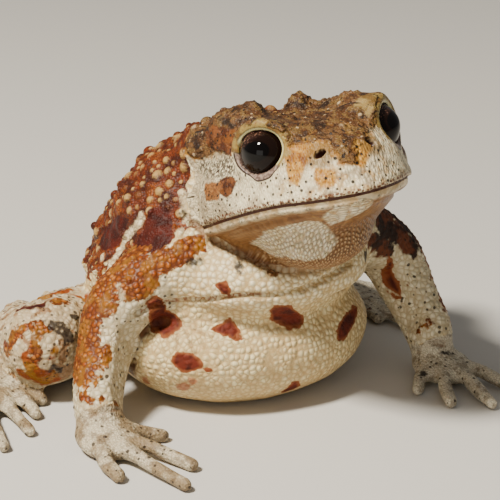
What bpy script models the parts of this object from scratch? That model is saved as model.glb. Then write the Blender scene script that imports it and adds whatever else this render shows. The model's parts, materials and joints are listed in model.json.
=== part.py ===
"""A miyako toad, life size, sitting upright with its head raised: a still model in named pieces.

The toad faces -Y, its left side is +X, and it rests on Z = 0. Places and sizes are in millimetres
and are made metres where a mesh is built. The head is shaped in its own frame (forward, left, up
from the middle of the jaw's hinge line) and then turned into the pose.
"""

import math
import random

import bmesh
import bpy
import numpy as np
from mathutils import Matrix, Vector

MM = 0.001

# Space left between neighbouring pieces.
GAP = 0.3

# The whole figure is moved by this, so that the origin is under its middle.
STAND_SHIFT = (0.2, -9.0, 0.0)

# Pose of the head: its place, and degrees turned, raised and tilted.
HEAD_PLACE = (6.4, -5.4, 33.55)
HEAD_YAW, HEAD_PITCH, HEAD_ROLL = -9.9, 17.8, 6.6

# Head, in its own frame.
SNOUT_LENGTH = 27.4
JAW_HALF_WIDTH = 16.2
CROWN_HEIGHT = 15.5
JAW_DEPTH = 7.9
EYE_PLACE = (14.2, 8.35, 9.45)
EYE_RADIUS = 4.2
EYE_LOOK = (0.70, 0.68, 0.12)
LID_THICKNESS = 1.0
EYE_OPENING = (3.9, 3.1)
LID_DIP = 1.0
LID_CREST = {"right": 16.8, "left": 15.0}
BROW_HEIGHT = {"right": 11.2, "left": 12.0}
CROWN_KNOBS = ((1.6, 2.2, 14.8, 2.5), (-1.5, -2.4, 14.2, 1.9), (8.5, 5.4, 13.7, 1.6),
               (4.2, -6.4, 15.3, 1.8))
NOSTRIL_PLACE = (22.4, 2.1, 6.3)
NOSTRIL_LOOK = (0.55, 0.62, 0.55)
NOSTRIL_RADII = (0.6, 0.95, 1.2)
NOSTRIL_SLANT = 25

# Face of the neck joint in the head's frame: its normal, and its distance from the hinge line.
NECK_NORMAL = (0.80, 0.0, 0.60)
NECK_OFFSET = -6.5

# Trunk: centre, radii and degrees turned about X of each mass.
TRUNK = {
    "low belly": ((2.0, 8.0, 9.0), (22.3, 18.6, 11.0), 0),
    "flanks": ((2.0, 14.0, 16.0), (22.2, 20.0, 16.0), 0),
    "shoulders": ((3.0, 12.5, 26.5), (20.0, 15.6, 15.2), -12),
    "mid back": ((2.4, 22.5, 20.5), (18.4, 16.0, 12.6), -38),
    "rump": ((1.6, 31.0, 12.6), (15.6, 14.6, 11.6), -30),
    "nape": ((6.0, 3.5, 33.0), (15.0, 12.5, 11.0), 0),
    "chest": ((4.0, 1.0, 21.8), (17.0, 12.6, 8.0), 0),
    "right shoulder": ((-9.5, 3.5, 23.5), (8.0, 7.0, 7.0), 0),
    "left shoulder": ((18.0, 3.5, 24.0), (7.5, 7.0, 7.0), 0),
}

# Limbs: stations of x, y, z and radius.
ARM = {
    "right": ((-8.0, 3.0, 24.0, 6.6), (-15.5, 4.5, 21.0, 5.8), (-21.3, 4.8, 16.5, 5.2),
              (-24.4, 2.6, 11.0, 4.5), (-27.6, -2.2, 5.8, 4.1), (-28.6, -4.4, 3.4, 3.6)),
    "left": ((19.0, 3.0, 24.5, 6.6), (25.0, 4.5, 21.5, 5.5), (28.4, 3.8, 17.6, 4.9),
             (29.8, 0.3, 12.0, 4.2), (30.5, -4.0, 7.4, 3.8), (31.0, -5.8, 4.0, 3.5)),
}
ELBOW_CUT = {
    "right": ((-22.4, 4.3, 14.6), (-0.42, -0.30, -0.86)),
    "left": ((28.9, 3.0, 15.6), (0.20, -0.48, -0.85)),
}
WRIST_CUT = {
    "right": ((-28.4, -3.8, 4.2), (-0.15, -0.72, -0.68)),
    "left": ((30.9, -5.3, 5.0), (0.10, -0.60, -0.79)),
}
PALM = {
    "right": ((-28.6, -7.4, 1.9), (5.0, 6.0, 2.3), -8),
    "left": ((31.6, -8.6, 1.9), (5.0, 5.6, 2.3), 6),
}
FINGERS = {
    "right": (
        ((-25.4, -6.4), (-22.6, -8.0), (-20.2, -9.4)),
        ((-26.4, -10.6), (-23.0, -15.6), (-20.6, -20.6)),
        ((-28.6, -11.8), (-26.6, -18.8), (-24.4, -26.0)),
        ((-31.0, -10.6), (-32.2, -14.6), (-31.8, -18.8)),
    ),
    "left": (
        ((28.2, -8.4), (25.8, -10.8), (24.0, -13.2)),
        ((29.8, -11.4), (27.6, -15.6), (26.0, -19.8)),
        ((32.4, -12.4), (32.0, -18.0), (31.4, -23.6)),
        ((34.8, -11.0), (36.8, -15.2), (37.8, -19.6)),
    ),
}
THIGH = {
    "right": ((-6.0, 29.0, 8.6, 7.4), (-17.0, 23.8, 7.2, 6.8), (-25.2, 18.2, 8.6, 7.2),
              (-29.4, 15.6, 9.0, 6.8)),
    "left": ((9.0, 31.0, 8.6, 7.4), (17.5, 28.6, 7.6, 6.8), (24.5, 25.0, 8.6, 6.6),
             (27.0, 23.4, 9.0, 6.2)),
}
SHANK = {
    "right": ((-30.2, 16.8, 7.4, 5.4), (-29.0, 26.0, 6.3, 4.7), (-25.2, 36.6, 4.6, 3.5)),
    "left": ((27.8, 24.4, 7.6, 5.2), (27.2, 34.0, 6.3, 4.6), (22.6, 44.0, 4.6, 3.5)),
}
FOOT = {
    "right": ((-25.8, 38.4, 3.4, 3.2), (-33.2, 32.0, 2.6, 2.8), (-36.6, 22.5, 2.1, 3.0)),
    "left": ((23.4, 45.8, 3.4, 3.2), (31.6, 40.0, 2.6, 2.8), (34.8, 31.0, 2.1, 3.0)),
}
TOES = {
    "right": (
        ((-34.4, 20.6), (-32.6, 16.0), (-31.6, 11.8)),
        ((-35.4, 19.4), (-34.6, 12.8), (-34.4, 7.0)),
        ((-36.8, 19.0), (-37.8, 10.2), (-37.6, 2.0)),
        ((-38.2, 19.6), (-41.4, 9.0), (-43.2, -1.4)),
        ((-39.2, 21.4), (-44.0, 14.6), (-46.8, 7.8)),
    ),
    "left": (
        ((32.8, 29.2), (31.8, 24.8), (31.4, 20.6)),
        ((33.8, 28.0), (34.0, 21.8), (34.4, 15.8)),
        ((35.2, 27.6), (36.8, 19.2), (37.4, 11.0)),
        ((36.6, 28.2), (40.6, 18.2), (43.2, 8.4)),
        ((37.6, 30.0), (42.8, 23.8), (46.4, 17.2)),
    ),
}
FINGER_RADIUS = 1.12
TOE_RADIUS = 1.05
TIP_SWELL = 1.08

# Fold across the chest, and the crease below the jaw: points on the skin, width and depth.
CHEST_FOLD = ((-17.5, -1.0, 17.0), (-11.5, -7.5, 18.8), (-5.0, -10.2, 18.4), (2.0, -11.2, 17.6),
              (8.0, -10.2, 17.8), (13.5, -7.5, 18.4), (21.0, -1.5, 19.5))
CHEST_FOLD_SIZE = (1.5, 0.9)
MOUTH_GROOVE = (0.95, 0.75)
BROW_HOLLOW = ((19.0, 0.0, 9.8), (12.0, 0.0, 12.4), (4.0, 0.0, 14.0), (-3.0, 0.0, 14.6))
BROW_HOLLOW_SIZE = (6.5, 1.3)

# Warts: how close they stand, their radii, and the row down each flank.
WART_SPACING = 3.2
WART_RADII = (0.95, 1.75)
FLANK_ROW = ((-15.0, 4.0, 29.5), (-17.8, 8.0, 25.7), (-20.4, 13.0, 19.0), (-20.0, 22.0, 15.5))

# Skin built from overlapping masses: the size of its steps, and how often it is eased.
BODY_STEP, BODY_EASE = 0.7, 10
FINE_STEP, FINE_EASE = 0.42, 2

# Triangles of each finished piece, before its openings are cut.
BUDGET = {
    "head": 3900, "torso": 3600, "arm": 1300, "thigh": 500, "shank": 290, "foot": 800,
}

SIDES = {"right": -1, "left": 1}
COLOURS = {
    "head": (0.42, 0.30, 0.20), "torso": (0.66, 0.50, 0.36), "upper_arm": (0.55, 0.25, 0.11),
    "forearm": (0.58, 0.30, 0.15), "hand": (0.55, 0.48, 0.38), "thigh": (0.60, 0.45, 0.32),
    "shank": (0.58, 0.42, 0.30), "foot": (0.52, 0.44, 0.34), "eye": (0.03, 0.015, 0.01),
}


def head_matrix():
    """The head's frame in the figure's, in millimetres."""
    yaw, pitch, roll = (math.radians(a) for a in (HEAD_YAW, HEAD_PITCH, HEAD_ROLL))
    flat = math.cos(pitch)
    forward = Vector((math.sin(yaw) * flat, -math.cos(yaw) * flat, math.sin(pitch)))
    level = Vector((math.cos(yaw), math.sin(yaw), 0.0))
    left = level * math.cos(roll) + forward.cross(level) * math.sin(roll)
    turn = Matrix((forward, left, forward.cross(left))).transposed()
    return Matrix.Translation(HEAD_PLACE) @ turn.to_4x4()


HEAD = head_matrix()


def link(name, mesh):
    obj = bpy.data.objects.new(name, mesh)
    bpy.context.scene.collection.objects.link(obj)
    return obj


def finish(name, bm):
    mesh = bpy.data.meshes.new(name)
    bm.to_mesh(mesh)
    bm.free()
    return link(name, mesh)


def lump(centre, radii, turn=(0, 0, 0), frame=None, steps=4):
    """A closed ellipsoid, turned by degrees about X, Y and Z in its frame."""
    place = Matrix.Translation(centre)
    for angle, axis in zip(turn, "XYZ"):
        place = place @ Matrix.Rotation(math.radians(angle), 4, axis)
    place = (frame or Matrix.Identity(4)) @ place @ Matrix.Diagonal((*radii, 1.0))
    bm = bmesh.new()
    bmesh.ops.create_icosphere(bm, subdivisions=steps, radius=1.0)
    bmesh.ops.transform(bm, matrix=Matrix.Scale(MM, 4) @ place, verts=bm.verts)
    return finish("lump", bm)


def curve_through(stations, steps=6):
    """Rows along a smooth curve that passes through every station."""
    rows = np.array(stations, float)
    rows = np.vstack([2 * rows[0] - rows[1], rows, 2 * rows[-1] - rows[-2]])
    out = []
    for a, b, c, d in zip(rows, rows[1:], rows[2:], rows[3:]):
        for i in range(steps):
            t = i / steps
            cubic = (2 * a - 5 * b + 4 * c - d) * t**2 + (3 * b - a - 3 * c + d) * t**3
            out.append(0.5 * (2 * b + (c - a) * t + cubic))
    out.append(rows[-2])
    return np.array(out)


def tube(stations, frame=None, sides=16, steps=6):
    """A closed tube with round ends along stations of x, y, z and radius."""
    path = curve_through(stations, steps)
    frame = frame or Matrix.Identity(4)
    bm = bmesh.new()
    rings = []
    for i, row in enumerate(path):
        ahead = path[min(i + 1, len(path) - 1), :3] - path[max(i - 1, 0), :3]
        turn = Vector(ahead).to_track_quat("Z", "Y").to_matrix()
        ring = []
        for k in range(sides):
            a = 2 * math.pi * k / sides
            off = turn @ Vector((math.cos(a), math.sin(a), 0.0)) * row[3]
            ring.append(bm.verts.new(frame @ (Vector(row[:3]) + off) * MM))
        rings.append(ring)
    for first, second in zip(rings, rings[1:]):
        for k in range(sides):
            n = (k + 1) % sides
            bm.faces.new((first[k], first[n], second[n], second[k]))
    bm.faces.new(rings[0][::-1])
    bm.faces.new(rings[-1])
    pieces = [finish("tube", bm)]
    for row in (path[0], path[-1]):
        pieces.append(lump(row[:3], (row[3],) * 3, frame=frame, steps=3))
    return pieces


def bake(obj):
    """The object with its modifiers applied."""
    bpy.context.view_layer.update()
    graph = bpy.context.evaluated_depsgraph_get()
    mesh = bpy.data.meshes.new_from_object(obj.evaluated_get(graph))
    obj.modifiers.clear()
    obj.data = mesh
    return obj


def fuse(name, pieces, step, ease):
    """One closed skin round overlapping masses, its creases eased."""
    bm = bmesh.new()
    for piece in pieces:
        bm.from_mesh(piece.data)
        bpy.data.objects.remove(piece)
    obj = finish(name, bm)
    skin = obj.modifiers.new("skin", "REMESH")
    skin.mode = "VOXEL"
    skin.voxel_size = step * MM
    soft = obj.modifiers.new("soft", "SMOOTH")
    soft.factor = 0.5
    soft.iterations = ease
    return bake(obj)


def copy_of(obj, grow=0.0):
    """A copy, its skin moved outward by some millimetres."""
    twin = link(obj.name + "_copy", obj.data.copy())
    if grow:
        swell = twin.modifiers.new("swell", "DISPLACE")
        swell.mid_level = 0.0
        swell.strength = grow * MM
        bake(twin)
    return twin


def keep_largest(obj):
    """Only the largest closed surface of the object."""
    bm = bmesh.new()
    bm.from_mesh(obj.data)
    left = set(bm.faces)
    groups = []
    while left:
        stack = [left.pop()]
        group = set(stack)
        while stack:
            face = stack.pop()
            for edge in face.edges:
                for other in edge.link_faces:
                    if other in left:
                        left.discard(other)
                        group.add(other)
                        stack.append(other)
        groups.append(group)
    groups.sort(key=lambda faces: -sum(f.calc_area() for f in faces))
    spare = [f for group in groups[1:] for f in group]
    bmesh.ops.delete(bm, geom=spare, context="FACES")
    bm.to_mesh(obj.data)
    bm.free()
    return obj


def carve(obj, cutters, exact=False):
    """The object less its cutters, which are used up."""
    for cutter in cutters:
        cut = obj.modifiers.new("cut", "BOOLEAN")
        cut.operation = "DIFFERENCE"
        cut.solver = "EXACT" if exact else "MANIFOLD"
        cut.object = cutter
    bake(obj)
    for cutter in cutters:
        bpy.data.objects.remove(cutter)
    return keep_largest(obj)


def saw(obj, point, normal, set_back=0.0):
    """The object with everything beyond a plane removed and the cut closed flat."""
    normal = Vector(normal).normalized()
    bm = bmesh.new()
    bm.from_mesh(obj.data)
    bmesh.ops.bisect_plane(
        bm,
        geom=bm.verts[:] + bm.edges[:] + bm.faces[:],
        dist=1e-8,
        plane_co=(Vector(point) - normal * set_back) * MM,
        plane_no=normal,
        clear_outer=True,
    )
    rim = [e for e in bm.edges if e.is_boundary]
    bmesh.ops.holes_fill(bm, edges=rim, sides=0)
    bmesh.ops.triangulate(bm, faces=[f for f in bm.faces if len(f.verts) > 4], ngon_method="EAR_CLIP")
    bm.to_mesh(obj.data)
    bm.free()
    return keep_largest(obj)


def split(obj, point, normal):
    """The near and the far part of the object, a gap apart at a plane."""
    far = copy_of(obj)
    saw(obj, point, normal, GAP / 2)
    saw(far, point, -Vector(normal), GAP / 2)
    return obj, far


def thin_out(obj, triangles):
    """The object with about that many triangles."""
    obj.data.calc_loop_triangles()
    now = len(obj.data.loop_triangles)
    if now > triangles:
        thin = obj.modifiers.new("thin", "DECIMATE")
        thin.ratio = triangles / now
        thin.use_collapse_triangulate = True
        bake(obj)
    return obj


def press(obj, points, width, depth):
    """A groove in the skin along a smooth line of points."""
    path = curve_through(points, 8) * MM
    count = len(obj.data.vertices)
    place = np.empty(count * 3)
    normal = np.empty(count * 3)
    obj.data.vertices.foreach_get("co", place)
    obj.data.vertex_normals.foreach_get("vector", normal)
    place, normal = place.reshape(-1, 3), normal.reshape(-1, 3)
    nearest = np.full(count, 1.0)
    for a, b in zip(path, path[1:]):
        along = np.clip(((place - a) @ (b - a)) / max((b - a) @ (b - a), 1e-12), 0, 1)
        away = np.linalg.norm(place - a - along[:, None] * (b - a), axis=1)
        nearest = np.minimum(nearest, away)
    fall = np.clip(1 - (nearest / (width * MM)) ** 2, 0, 1) ** 2
    place -= normal * (fall * depth * MM)[:, None]
    obj.data.vertices.foreach_set("co", place.ravel())
    obj.data.update()
    return obj


def lip_height(share):
    """Height of the mouth at a share of the way from the snout's middle to its corner."""
    return 1.1 + 0.75 * share - 7.3 * max(share - 0.5, 0.0) ** 1.6


def mouth_line(drop=0.0, out=0.0, steps=14):
    """Points along the mouth in the head's frame, from the right corner round the snout to the left."""
    points = []
    for k in range(-steps, steps + 1):
        a = k / steps
        x = SNOUT_LENGTH * (1 - abs(a) ** 1.9) - 1.6 * abs(a) ** 6
        t = max(x / SNOUT_LENGTH, 0.0)
        y = JAW_HALF_WIDTH * math.sqrt(max(1 - t**1.5, 0.0)) * (1 if a > 0 else -1)
        away = Vector((t, y / JAW_HALF_WIDTH, 0.0)).normalized() * out
        points.append((x + away.x, y + away.y, lip_height(abs(a)) - drop))
    return points


def head_masses():
    """The skull as rings across its length, and its throat."""
    stations = (-10.0, -5.0, 0.0, 4.0, 8.0, 12.0, 16.0, 19.0, 21.5, 23.5, 25.2, 26.4, 27.0)
    sides = 40
    bm = bmesh.new()
    rings = []
    for x in stations:
        t = min(max(x / SNOUT_LENGTH, 0.0), 1.0)
        width = JAW_HALF_WIDTH * math.sqrt(max(1 - t**1.5, 0.0)) * (1 + min(x, 0) * 0.012)
        lip = lip_height((1 - t) ** 0.53)
        crown = CROWN_HEIGHT * (1 - 0.48 * t**1.8) * (1 - t**10) ** 0.5 - lip * (1 - t)
        jaw = JAW_DEPTH * (1 - t) ** 0.55 + lip * (1 - t)
        ring = []
        for k in range(sides):
            a = 2 * math.pi * k / sides
            c, s = math.cos(a), math.sin(a)
            power = 0.90 if s > 0 else 1.0
            side = 1.0 if s >= 0 else 0.88 - 0.34 * s * s
            y = width * side * math.copysign(abs(c) ** power, c)
            z = lip + (crown if s > 0 else jaw) * math.copysign(abs(s) ** power, s)
            ring.append(bm.verts.new(HEAD @ Vector((x, y, z)) * MM))
        rings.append(ring)
    for first, second in zip(rings, rings[1:]):
        for k in range(sides):
            n = (k + 1) % sides
            bm.faces.new((first[k], first[n], second[n], second[k]))
    bm.faces.new(rings[0][::-1])
    bm.faces.new(rings[-1])
    bmesh.ops.recalc_face_normals(bm, faces=bm.faces)
    return [
        finish("skull", bm),
        lump((6.4, -0.8, -3.6), (10.2, 8.6, 6.4), (0, 6, 0), HEAD),
        lump((23.0, 0.0, 4.6), (3.6, 5.4, 4.4), (0, -20, 0), HEAD),
    ]


def eye_frame(sign):
    """Frame of one eye: X up, Y level across it and Z along its look."""
    look = Vector((EYE_LOOK[0], sign * EYE_LOOK[1], EYE_LOOK[2])).normalized()
    across = look.cross(Vector((0.0, 0.0, 1.0))).normalized()
    turn = Matrix((across.cross(look), across, look)).transposed().to_4x4()
    place = Matrix.Translation((EYE_PLACE[0], sign * EYE_PLACE[1], EYE_PLACE[2]))
    return HEAD @ place @ turn


def eye_surrounds(side, sign):
    """Orbit, lids, crest, gland and nostril swelling of one side of the head."""
    x, y, z = EYE_PLACE
    orbit = EYE_RADIUS + LID_THICKNESS
    crest = LID_CREST[side]
    masses = [lump((x - 0.2, sign * (y - 0.6), z), (orbit + 0.2, orbit, orbit - 0.3), frame=HEAD)]
    brow = (x - 1.2, sign * (y - 0.8), BROW_HEIGHT[side])
    masses.append(lump(brow, (6.0, 4.2, 3.3), (sign * -12, 2, sign * 10), HEAD))
    masses.append(lump((1.5, sign * 7.6, crest - 4.0), (7.6, 5.0, 4.0), (sign * -10, -4, 0), HEAD))
    masses.append(lump((-8.0, sign * 11.4, crest - 6.6), (9.0, 4.8, 5.0), (0, -14, sign * -8), HEAD))
    masses.append(lump((5.0, sign * 13.2, 3.6), (7.0, 3.2, 4.2), (0, 0, sign * -14), HEAD))
    masses += tube(((17.0, sign * 7.4, 9.6, 1.7), (20.0, sign * 5.2, 8.6, 1.5),
                    (22.4, sign * 3.7, 7.6, 1.3)), HEAD)
    return masses


def lids(sign):
    """Upper and lower lid of one eye, as folds round its opening."""
    frame = eye_frame(sign)
    wide, tall = EYE_OPENING
    front = EYE_RADIUS * 0.70
    upper, lower = [], []
    for k in range(-4, 5):
        a = math.radians(26 * k)
        rise, back = math.cos(a), max(-sign * math.sin(a), 0.0)
        thick = 0.85 + 0.3 * max(rise, 0) - 0.15 * back
        upper.append(((tall + 0.9) * rise, (wide + 0.9) * math.sin(a), front - 0.25 - LID_DIP * back, thick))
    for k in range(-3, 4):
        a = math.radians(24 * k)
        back = max(-sign * math.sin(a), 0.0)
        height = front - 0.3 - LID_DIP * back
        lower.append((-(tall + 0.75) * math.cos(a), (wide + 0.75) * math.sin(a), height, 0.72))
    return tube(upper, frame, 10, 3) + tube(lower, frame, 10, 3)


def skin_points(obj, seed, spacing, allowed, limit):
    """Places on the skin, no closer than the spacing, where the rule allows them."""
    rng = random.Random(seed)
    faces = list(obj.data.polygons)
    chosen = []
    for _ in range(limit * 40):
        face = rng.choice(faces)
        centre, normal = face.center / MM, face.normal.copy()
        if not allowed(centre, normal):
            continue
        if all((centre - other).length > spacing for other, _, _ in chosen):
            chosen.append((centre, normal, rng.random()))
        if len(chosen) == limit:
            break
    return chosen


def warts(points, small, large, flat=0.75):
    """Low round swellings on the skin."""
    masses = []
    for centre, normal, size in points:
        radius = small + (large - small) * size**1.6
        frame = Matrix.Translation(centre) @ normal.to_track_quat("Z", "Y").to_matrix().to_4x4()
        masses.append(lump((0, 0, -0.05 * radius), (radius, radius, radius * flat), frame=frame, steps=2))
    return masses


def on_back(centre, normal):
    """The back and the flanks, away from the head and the belly."""
    below_head = (HEAD.inverted() @ centre).x < -8.0
    upper = centre.z > 13.0 + max(0.0, 8.0 - centre.y) * 1.2
    return below_head and upper and normal.z > -0.25 and centre.y > 2.0


def on_crown(centre, normal):
    """The top of the head, between the snout and the neck, and the edges of the lids."""
    x, y, z = HEAD.inverted() @ centre
    return -7.0 < x < 20.0 and z > 11.2 and abs(y) < 13.0


def flank_row(body, sign):
    """A row of large warts down one flank."""
    points = []
    for x, y, z in curve_through(FLANK_ROW, 3):
        centre = TRUNK["flanks"][0][0]
        start = Vector((centre + (x - centre) * -sign * 1.6, y, z)) * MM
        aim = Vector((centre, y, z)) * MM - start
        hit, place, normal, _ = body.ray_cast(start, aim.normalized())
        if hit:
            points.append((place / MM, normal.copy(), 0.8))
    return points


def make_trunk():
    masses = [lump(centre, radii, (turn, 0, 0)) for centre, radii, turn in TRUNK.values()]
    masses += head_masses()
    for side, sign in SIDES.items():
        masses += eye_surrounds(side, sign)
    body = fuse("trunk", masses, BODY_STEP, BODY_EASE)
    details = []
    for side, sign in SIDES.items():
        details += lids(sign)
        details += warts(flank_row(body, sign), 1.2, 1.7)
    details += warts(skin_points(body, 3, WART_SPACING, on_back, 170), *WART_RADII)
    details += warts(skin_points(body, 8, 2.3, on_crown, 60), 0.45, 0.95)
    details += [lump(knob[:3], (knob[3],) * 3, frame=HEAD, steps=3) for knob in CROWN_KNOBS]
    details += tube([(*p, 0.8) for p in mouth_line(-0.95, -0.35)], HEAD, 10, 2)
    details += tube([(*p, 0.7) for p in mouth_line(0.9, -0.85)], HEAD, 10, 2)
    body = fuse("trunk", [body] + details, FINE_STEP, FINE_EASE)
    press(body, CHEST_FOLD, *CHEST_FOLD_SIZE)
    press(body, [HEAD @ Vector(p) for p in mouth_line()], *MOUTH_GROOVE)
    press(body, [HEAD @ Vector(p) for p in BROW_HOLLOW], *BROW_HOLLOW_SIZE)
    return body


def neck_plane():
    turn = HEAD.to_3x3()
    normal = turn @ Vector(NECK_NORMAL)
    return HEAD @ (Vector(NECK_NORMAL) * NECK_OFFSET), normal


def nostril_cutter(head, sign):
    """A pit where a line along the nostril's look meets the skin."""
    look = HEAD.to_3x3() @ Vector((NOSTRIL_LOOK[0], sign * NOSTRIL_LOOK[1], NOSTRIL_LOOK[2])).normalized()
    middle = HEAD @ Vector((NOSTRIL_PLACE[0], sign * NOSTRIL_PLACE[1], NOSTRIL_PLACE[2]))
    _, place, _, _ = head.ray_cast((middle + look * 12) * MM, -look)
    frame = Matrix.Translation(place / MM) @ look.to_track_quat("Z", "Y").to_matrix().to_4x4()
    frame = frame @ Matrix.Rotation(math.radians(sign * NOSTRIL_SLANT), 4, "Z")
    return lump((0, 0, 0), NOSTRIL_RADII, frame=frame, steps=2)


def opening_cutter(sign):
    """A flaring round plug along the look of one eye."""
    wide, tall = EYE_OPENING
    bm = bmesh.new()
    bmesh.ops.create_cone(bm, cap_ends=True, segments=32, radius1=1.0, radius2=1.22, depth=5.0)
    place = eye_frame(sign) @ Matrix.Translation((0, 0, 5.2))
    place = place @ Matrix.Diagonal((tall, wide, 1, 1))
    bmesh.ops.transform(bm, matrix=Matrix.Scale(MM, 4) @ place, verts=bm.verts)
    return finish("opening", bm)


def eyeball(sign, radius):
    frame = eye_frame(sign)
    bm = bmesh.new()
    bmesh.ops.create_uvsphere(bm, u_segments=20, v_segments=12, radius=radius)
    bmesh.ops.transform(bm, matrix=Matrix.Scale(MM, 4) @ frame, verts=bm.verts)
    return finish("eye", bm)


def digits(paths, radius):
    """Fingers or toes that reach along the floor, each with a blunt tip."""
    masses = []
    for path in paths:
        (ax, ay), (bx, by), (cx, cy) = path
        masses += tube(((ax, ay, 1.9, radius * 1.25), ((ax + bx) / 2, (ay + by) / 2, 2.0, radius * 1.05),
                        (bx, by, 1.5, radius * 1.05), (cx, cy, 1.0, radius * 0.92)), sides=12, steps=4)
        masses.append(lump((cx, cy, 0.95), (radius * TIP_SWELL,) * 3, steps=2))
    return masses


def web(paths, reach):
    """Skin between neighbouring toes, out to part of their length."""
    masses = []
    for first, second in zip(paths, paths[1:]):
        a, b = Vector(first[0]), Vector(first[0]).lerp(Vector(first[1]), reach)
        c, d = Vector(second[0]), Vector(second[0]).lerp(Vector(second[1]), reach)
        near, far = (a + c) / 2, (b + d) / 2
        wide = (b - d).length / 2 + 0.3
        masses += tube(((near.x, near.y, 1.2, wide * 0.6), (far.x, far.y, 0.9, wide * 0.5)), sides=10)
    return masses


def make_arm(side):
    centre, radii, turn = PALM[side]
    masses = tube(ARM[side]) + [lump(centre, radii, (4, 0, turn))]
    masses += digits(FINGERS[side], FINGER_RADIUS)
    return fuse(f"arm_{side}", masses, FINE_STEP, 4)


def make_foot(side):
    masses = tube(FOOT[side]) + digits(TOES[side], TOE_RADIUS) + web(TOES[side], 0.55)
    return fuse(f"foot_{side}", masses, FINE_STEP, 4)


def make_thigh(side):
    body = fuse(f"thigh_{side}", tube(THIGH[side]), BODY_STEP, 2)

    def outside(centre, normal):
        return normal.z > 0.0 and abs(centre.x - TRUNK["flanks"][0][0]) > 17.0

    spots = skin_points(body, 21 if side == "right" else 22, 2.8, outside, 26)
    return fuse(body.name, [body] + warts(spots, 0.7, 1.2), FINE_STEP, 2)


def paint(obj, colour):
    material = bpy.data.materials.new(obj.name)
    material.use_nodes = True
    shader = material.node_tree.nodes["Principled BSDF"]
    shader.inputs["Base Color"].default_value = (*colour, 1.0)
    shader.inputs["Roughness"].default_value = 0.15 if "eye" in obj.name else 0.6
    obj.data.materials.clear()
    obj.data.materials.append(material)


def settle(obj, name, colour):
    """The finished node: cut flat on the floor, placed, shaded smooth and coloured."""
    saw(obj, (0, 0, 0), (0, 0, -1))
    bm = bmesh.new()
    bm.from_mesh(obj.data)
    bmesh.ops.dissolve_degenerate(bm, dist=1e-6, edges=bm.edges)
    bmesh.ops.triangulate(bm, faces=bm.faces)
    bmesh.ops.translate(bm, vec=Vector(STAND_SHIFT) * MM, verts=bm.verts)
    for face in bm.faces:
        face.smooth = True
    for edge in bm.edges:
        edge.smooth = edge.calc_face_angle(0.0) < math.radians(48)
    bm.to_mesh(obj.data)
    bm.free()
    obj.name = name
    obj.data.name = name
    paint(obj, colour)
    return obj


def build():
    for obj in list(bpy.data.objects):
        bpy.data.objects.remove(obj)
    done = {}
    trunk = make_trunk()
    torso, head = split(trunk, *neck_plane())
    thin_out(torso, BUDGET["torso"])
    thin_out(head, BUDGET["head"])
    for side, sign in SIDES.items():
        arm = thin_out(make_arm(side), BUDGET["arm"])
        carve(arm, [copy_of(torso, GAP), copy_of(head, GAP)])
        upper, rest = split(arm, *ELBOW_CUT[side])
        fore, hand = split(rest, *WRIST_CUT[side])
        done[f"upper_arm_{side}"] = upper
        done[f"forearm_{side}"] = fore
        done[f"hand_{side}"] = hand
        thigh = thin_out(make_thigh(side), BUDGET["thigh"])
        shank = thin_out(fuse(f"shank_{side}", tube(SHANK[side]), BODY_STEP, 2), BUDGET["shank"])
        foot = thin_out(make_foot(side), BUDGET["foot"])
        done[f"foot_{side}"] = carve(foot, [copy_of(shank, GAP), copy_of(thigh, GAP)])
        done[f"shank_{side}"] = carve(shank, [copy_of(torso, GAP), copy_of(thigh, GAP)])
        done[f"thigh_{side}"] = carve(thigh, [copy_of(torso, GAP)])
    for side, sign in SIDES.items():
        cutters = [eyeball(sign, EYE_RADIUS + GAP), opening_cutter(sign), nostril_cutter(head, sign)]
        carve(head, cutters, exact=True)
        done[f"eye_{side}"] = eyeball(sign, EYE_RADIUS)
    done["head"] = head
    done["torso"] = torso
    for name, obj in done.items():
        kind = name.removesuffix("_left").removesuffix("_right")
        settle(obj, name, COLOURS[kind])


build()
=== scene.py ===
"""Looks of a toad that sits upright: one warty skin over its solids, wet eyes, floor, light and camera.

Sizes and places are in millimetres of the part's frame, where the toad faces -Y, its left side is
+X and the floor is Z = 0. Places on the head are in the head's own frame: forward, left and up from
the middle of the jaw's hinge line.
"""

import json
import math
from functools import partial

import bpy
import numpy as np
from mathutils import Matrix, Vector, noise
from mathutils.kdtree import KDTree

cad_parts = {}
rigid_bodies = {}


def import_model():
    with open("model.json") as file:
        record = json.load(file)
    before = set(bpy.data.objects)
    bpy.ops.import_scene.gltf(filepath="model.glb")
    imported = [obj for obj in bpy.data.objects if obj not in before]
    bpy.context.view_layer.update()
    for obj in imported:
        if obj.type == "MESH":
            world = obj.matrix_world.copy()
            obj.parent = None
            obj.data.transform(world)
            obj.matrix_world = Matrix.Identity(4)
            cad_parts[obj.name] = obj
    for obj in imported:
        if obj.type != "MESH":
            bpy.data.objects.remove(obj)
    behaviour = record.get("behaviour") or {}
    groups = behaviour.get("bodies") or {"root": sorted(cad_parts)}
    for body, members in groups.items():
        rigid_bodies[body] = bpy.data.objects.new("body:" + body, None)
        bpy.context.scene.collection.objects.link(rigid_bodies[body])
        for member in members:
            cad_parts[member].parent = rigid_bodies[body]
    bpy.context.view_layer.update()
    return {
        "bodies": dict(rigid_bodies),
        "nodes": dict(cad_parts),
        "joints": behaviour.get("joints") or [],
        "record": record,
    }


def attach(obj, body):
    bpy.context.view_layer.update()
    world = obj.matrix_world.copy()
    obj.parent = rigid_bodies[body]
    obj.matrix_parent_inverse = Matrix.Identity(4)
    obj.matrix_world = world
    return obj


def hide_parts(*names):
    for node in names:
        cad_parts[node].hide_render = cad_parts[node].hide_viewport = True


MM = 0.001
SIDES = {"right": -1, "left": 1}

# The head's place in the figure, and degrees turned, raised and tilted.
HEAD_PLACE = (6.6, -14.4, 33.55)
HEAD_YAW, HEAD_PITCH, HEAD_ROLL = -9.9, 17.8, 6.6

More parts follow.
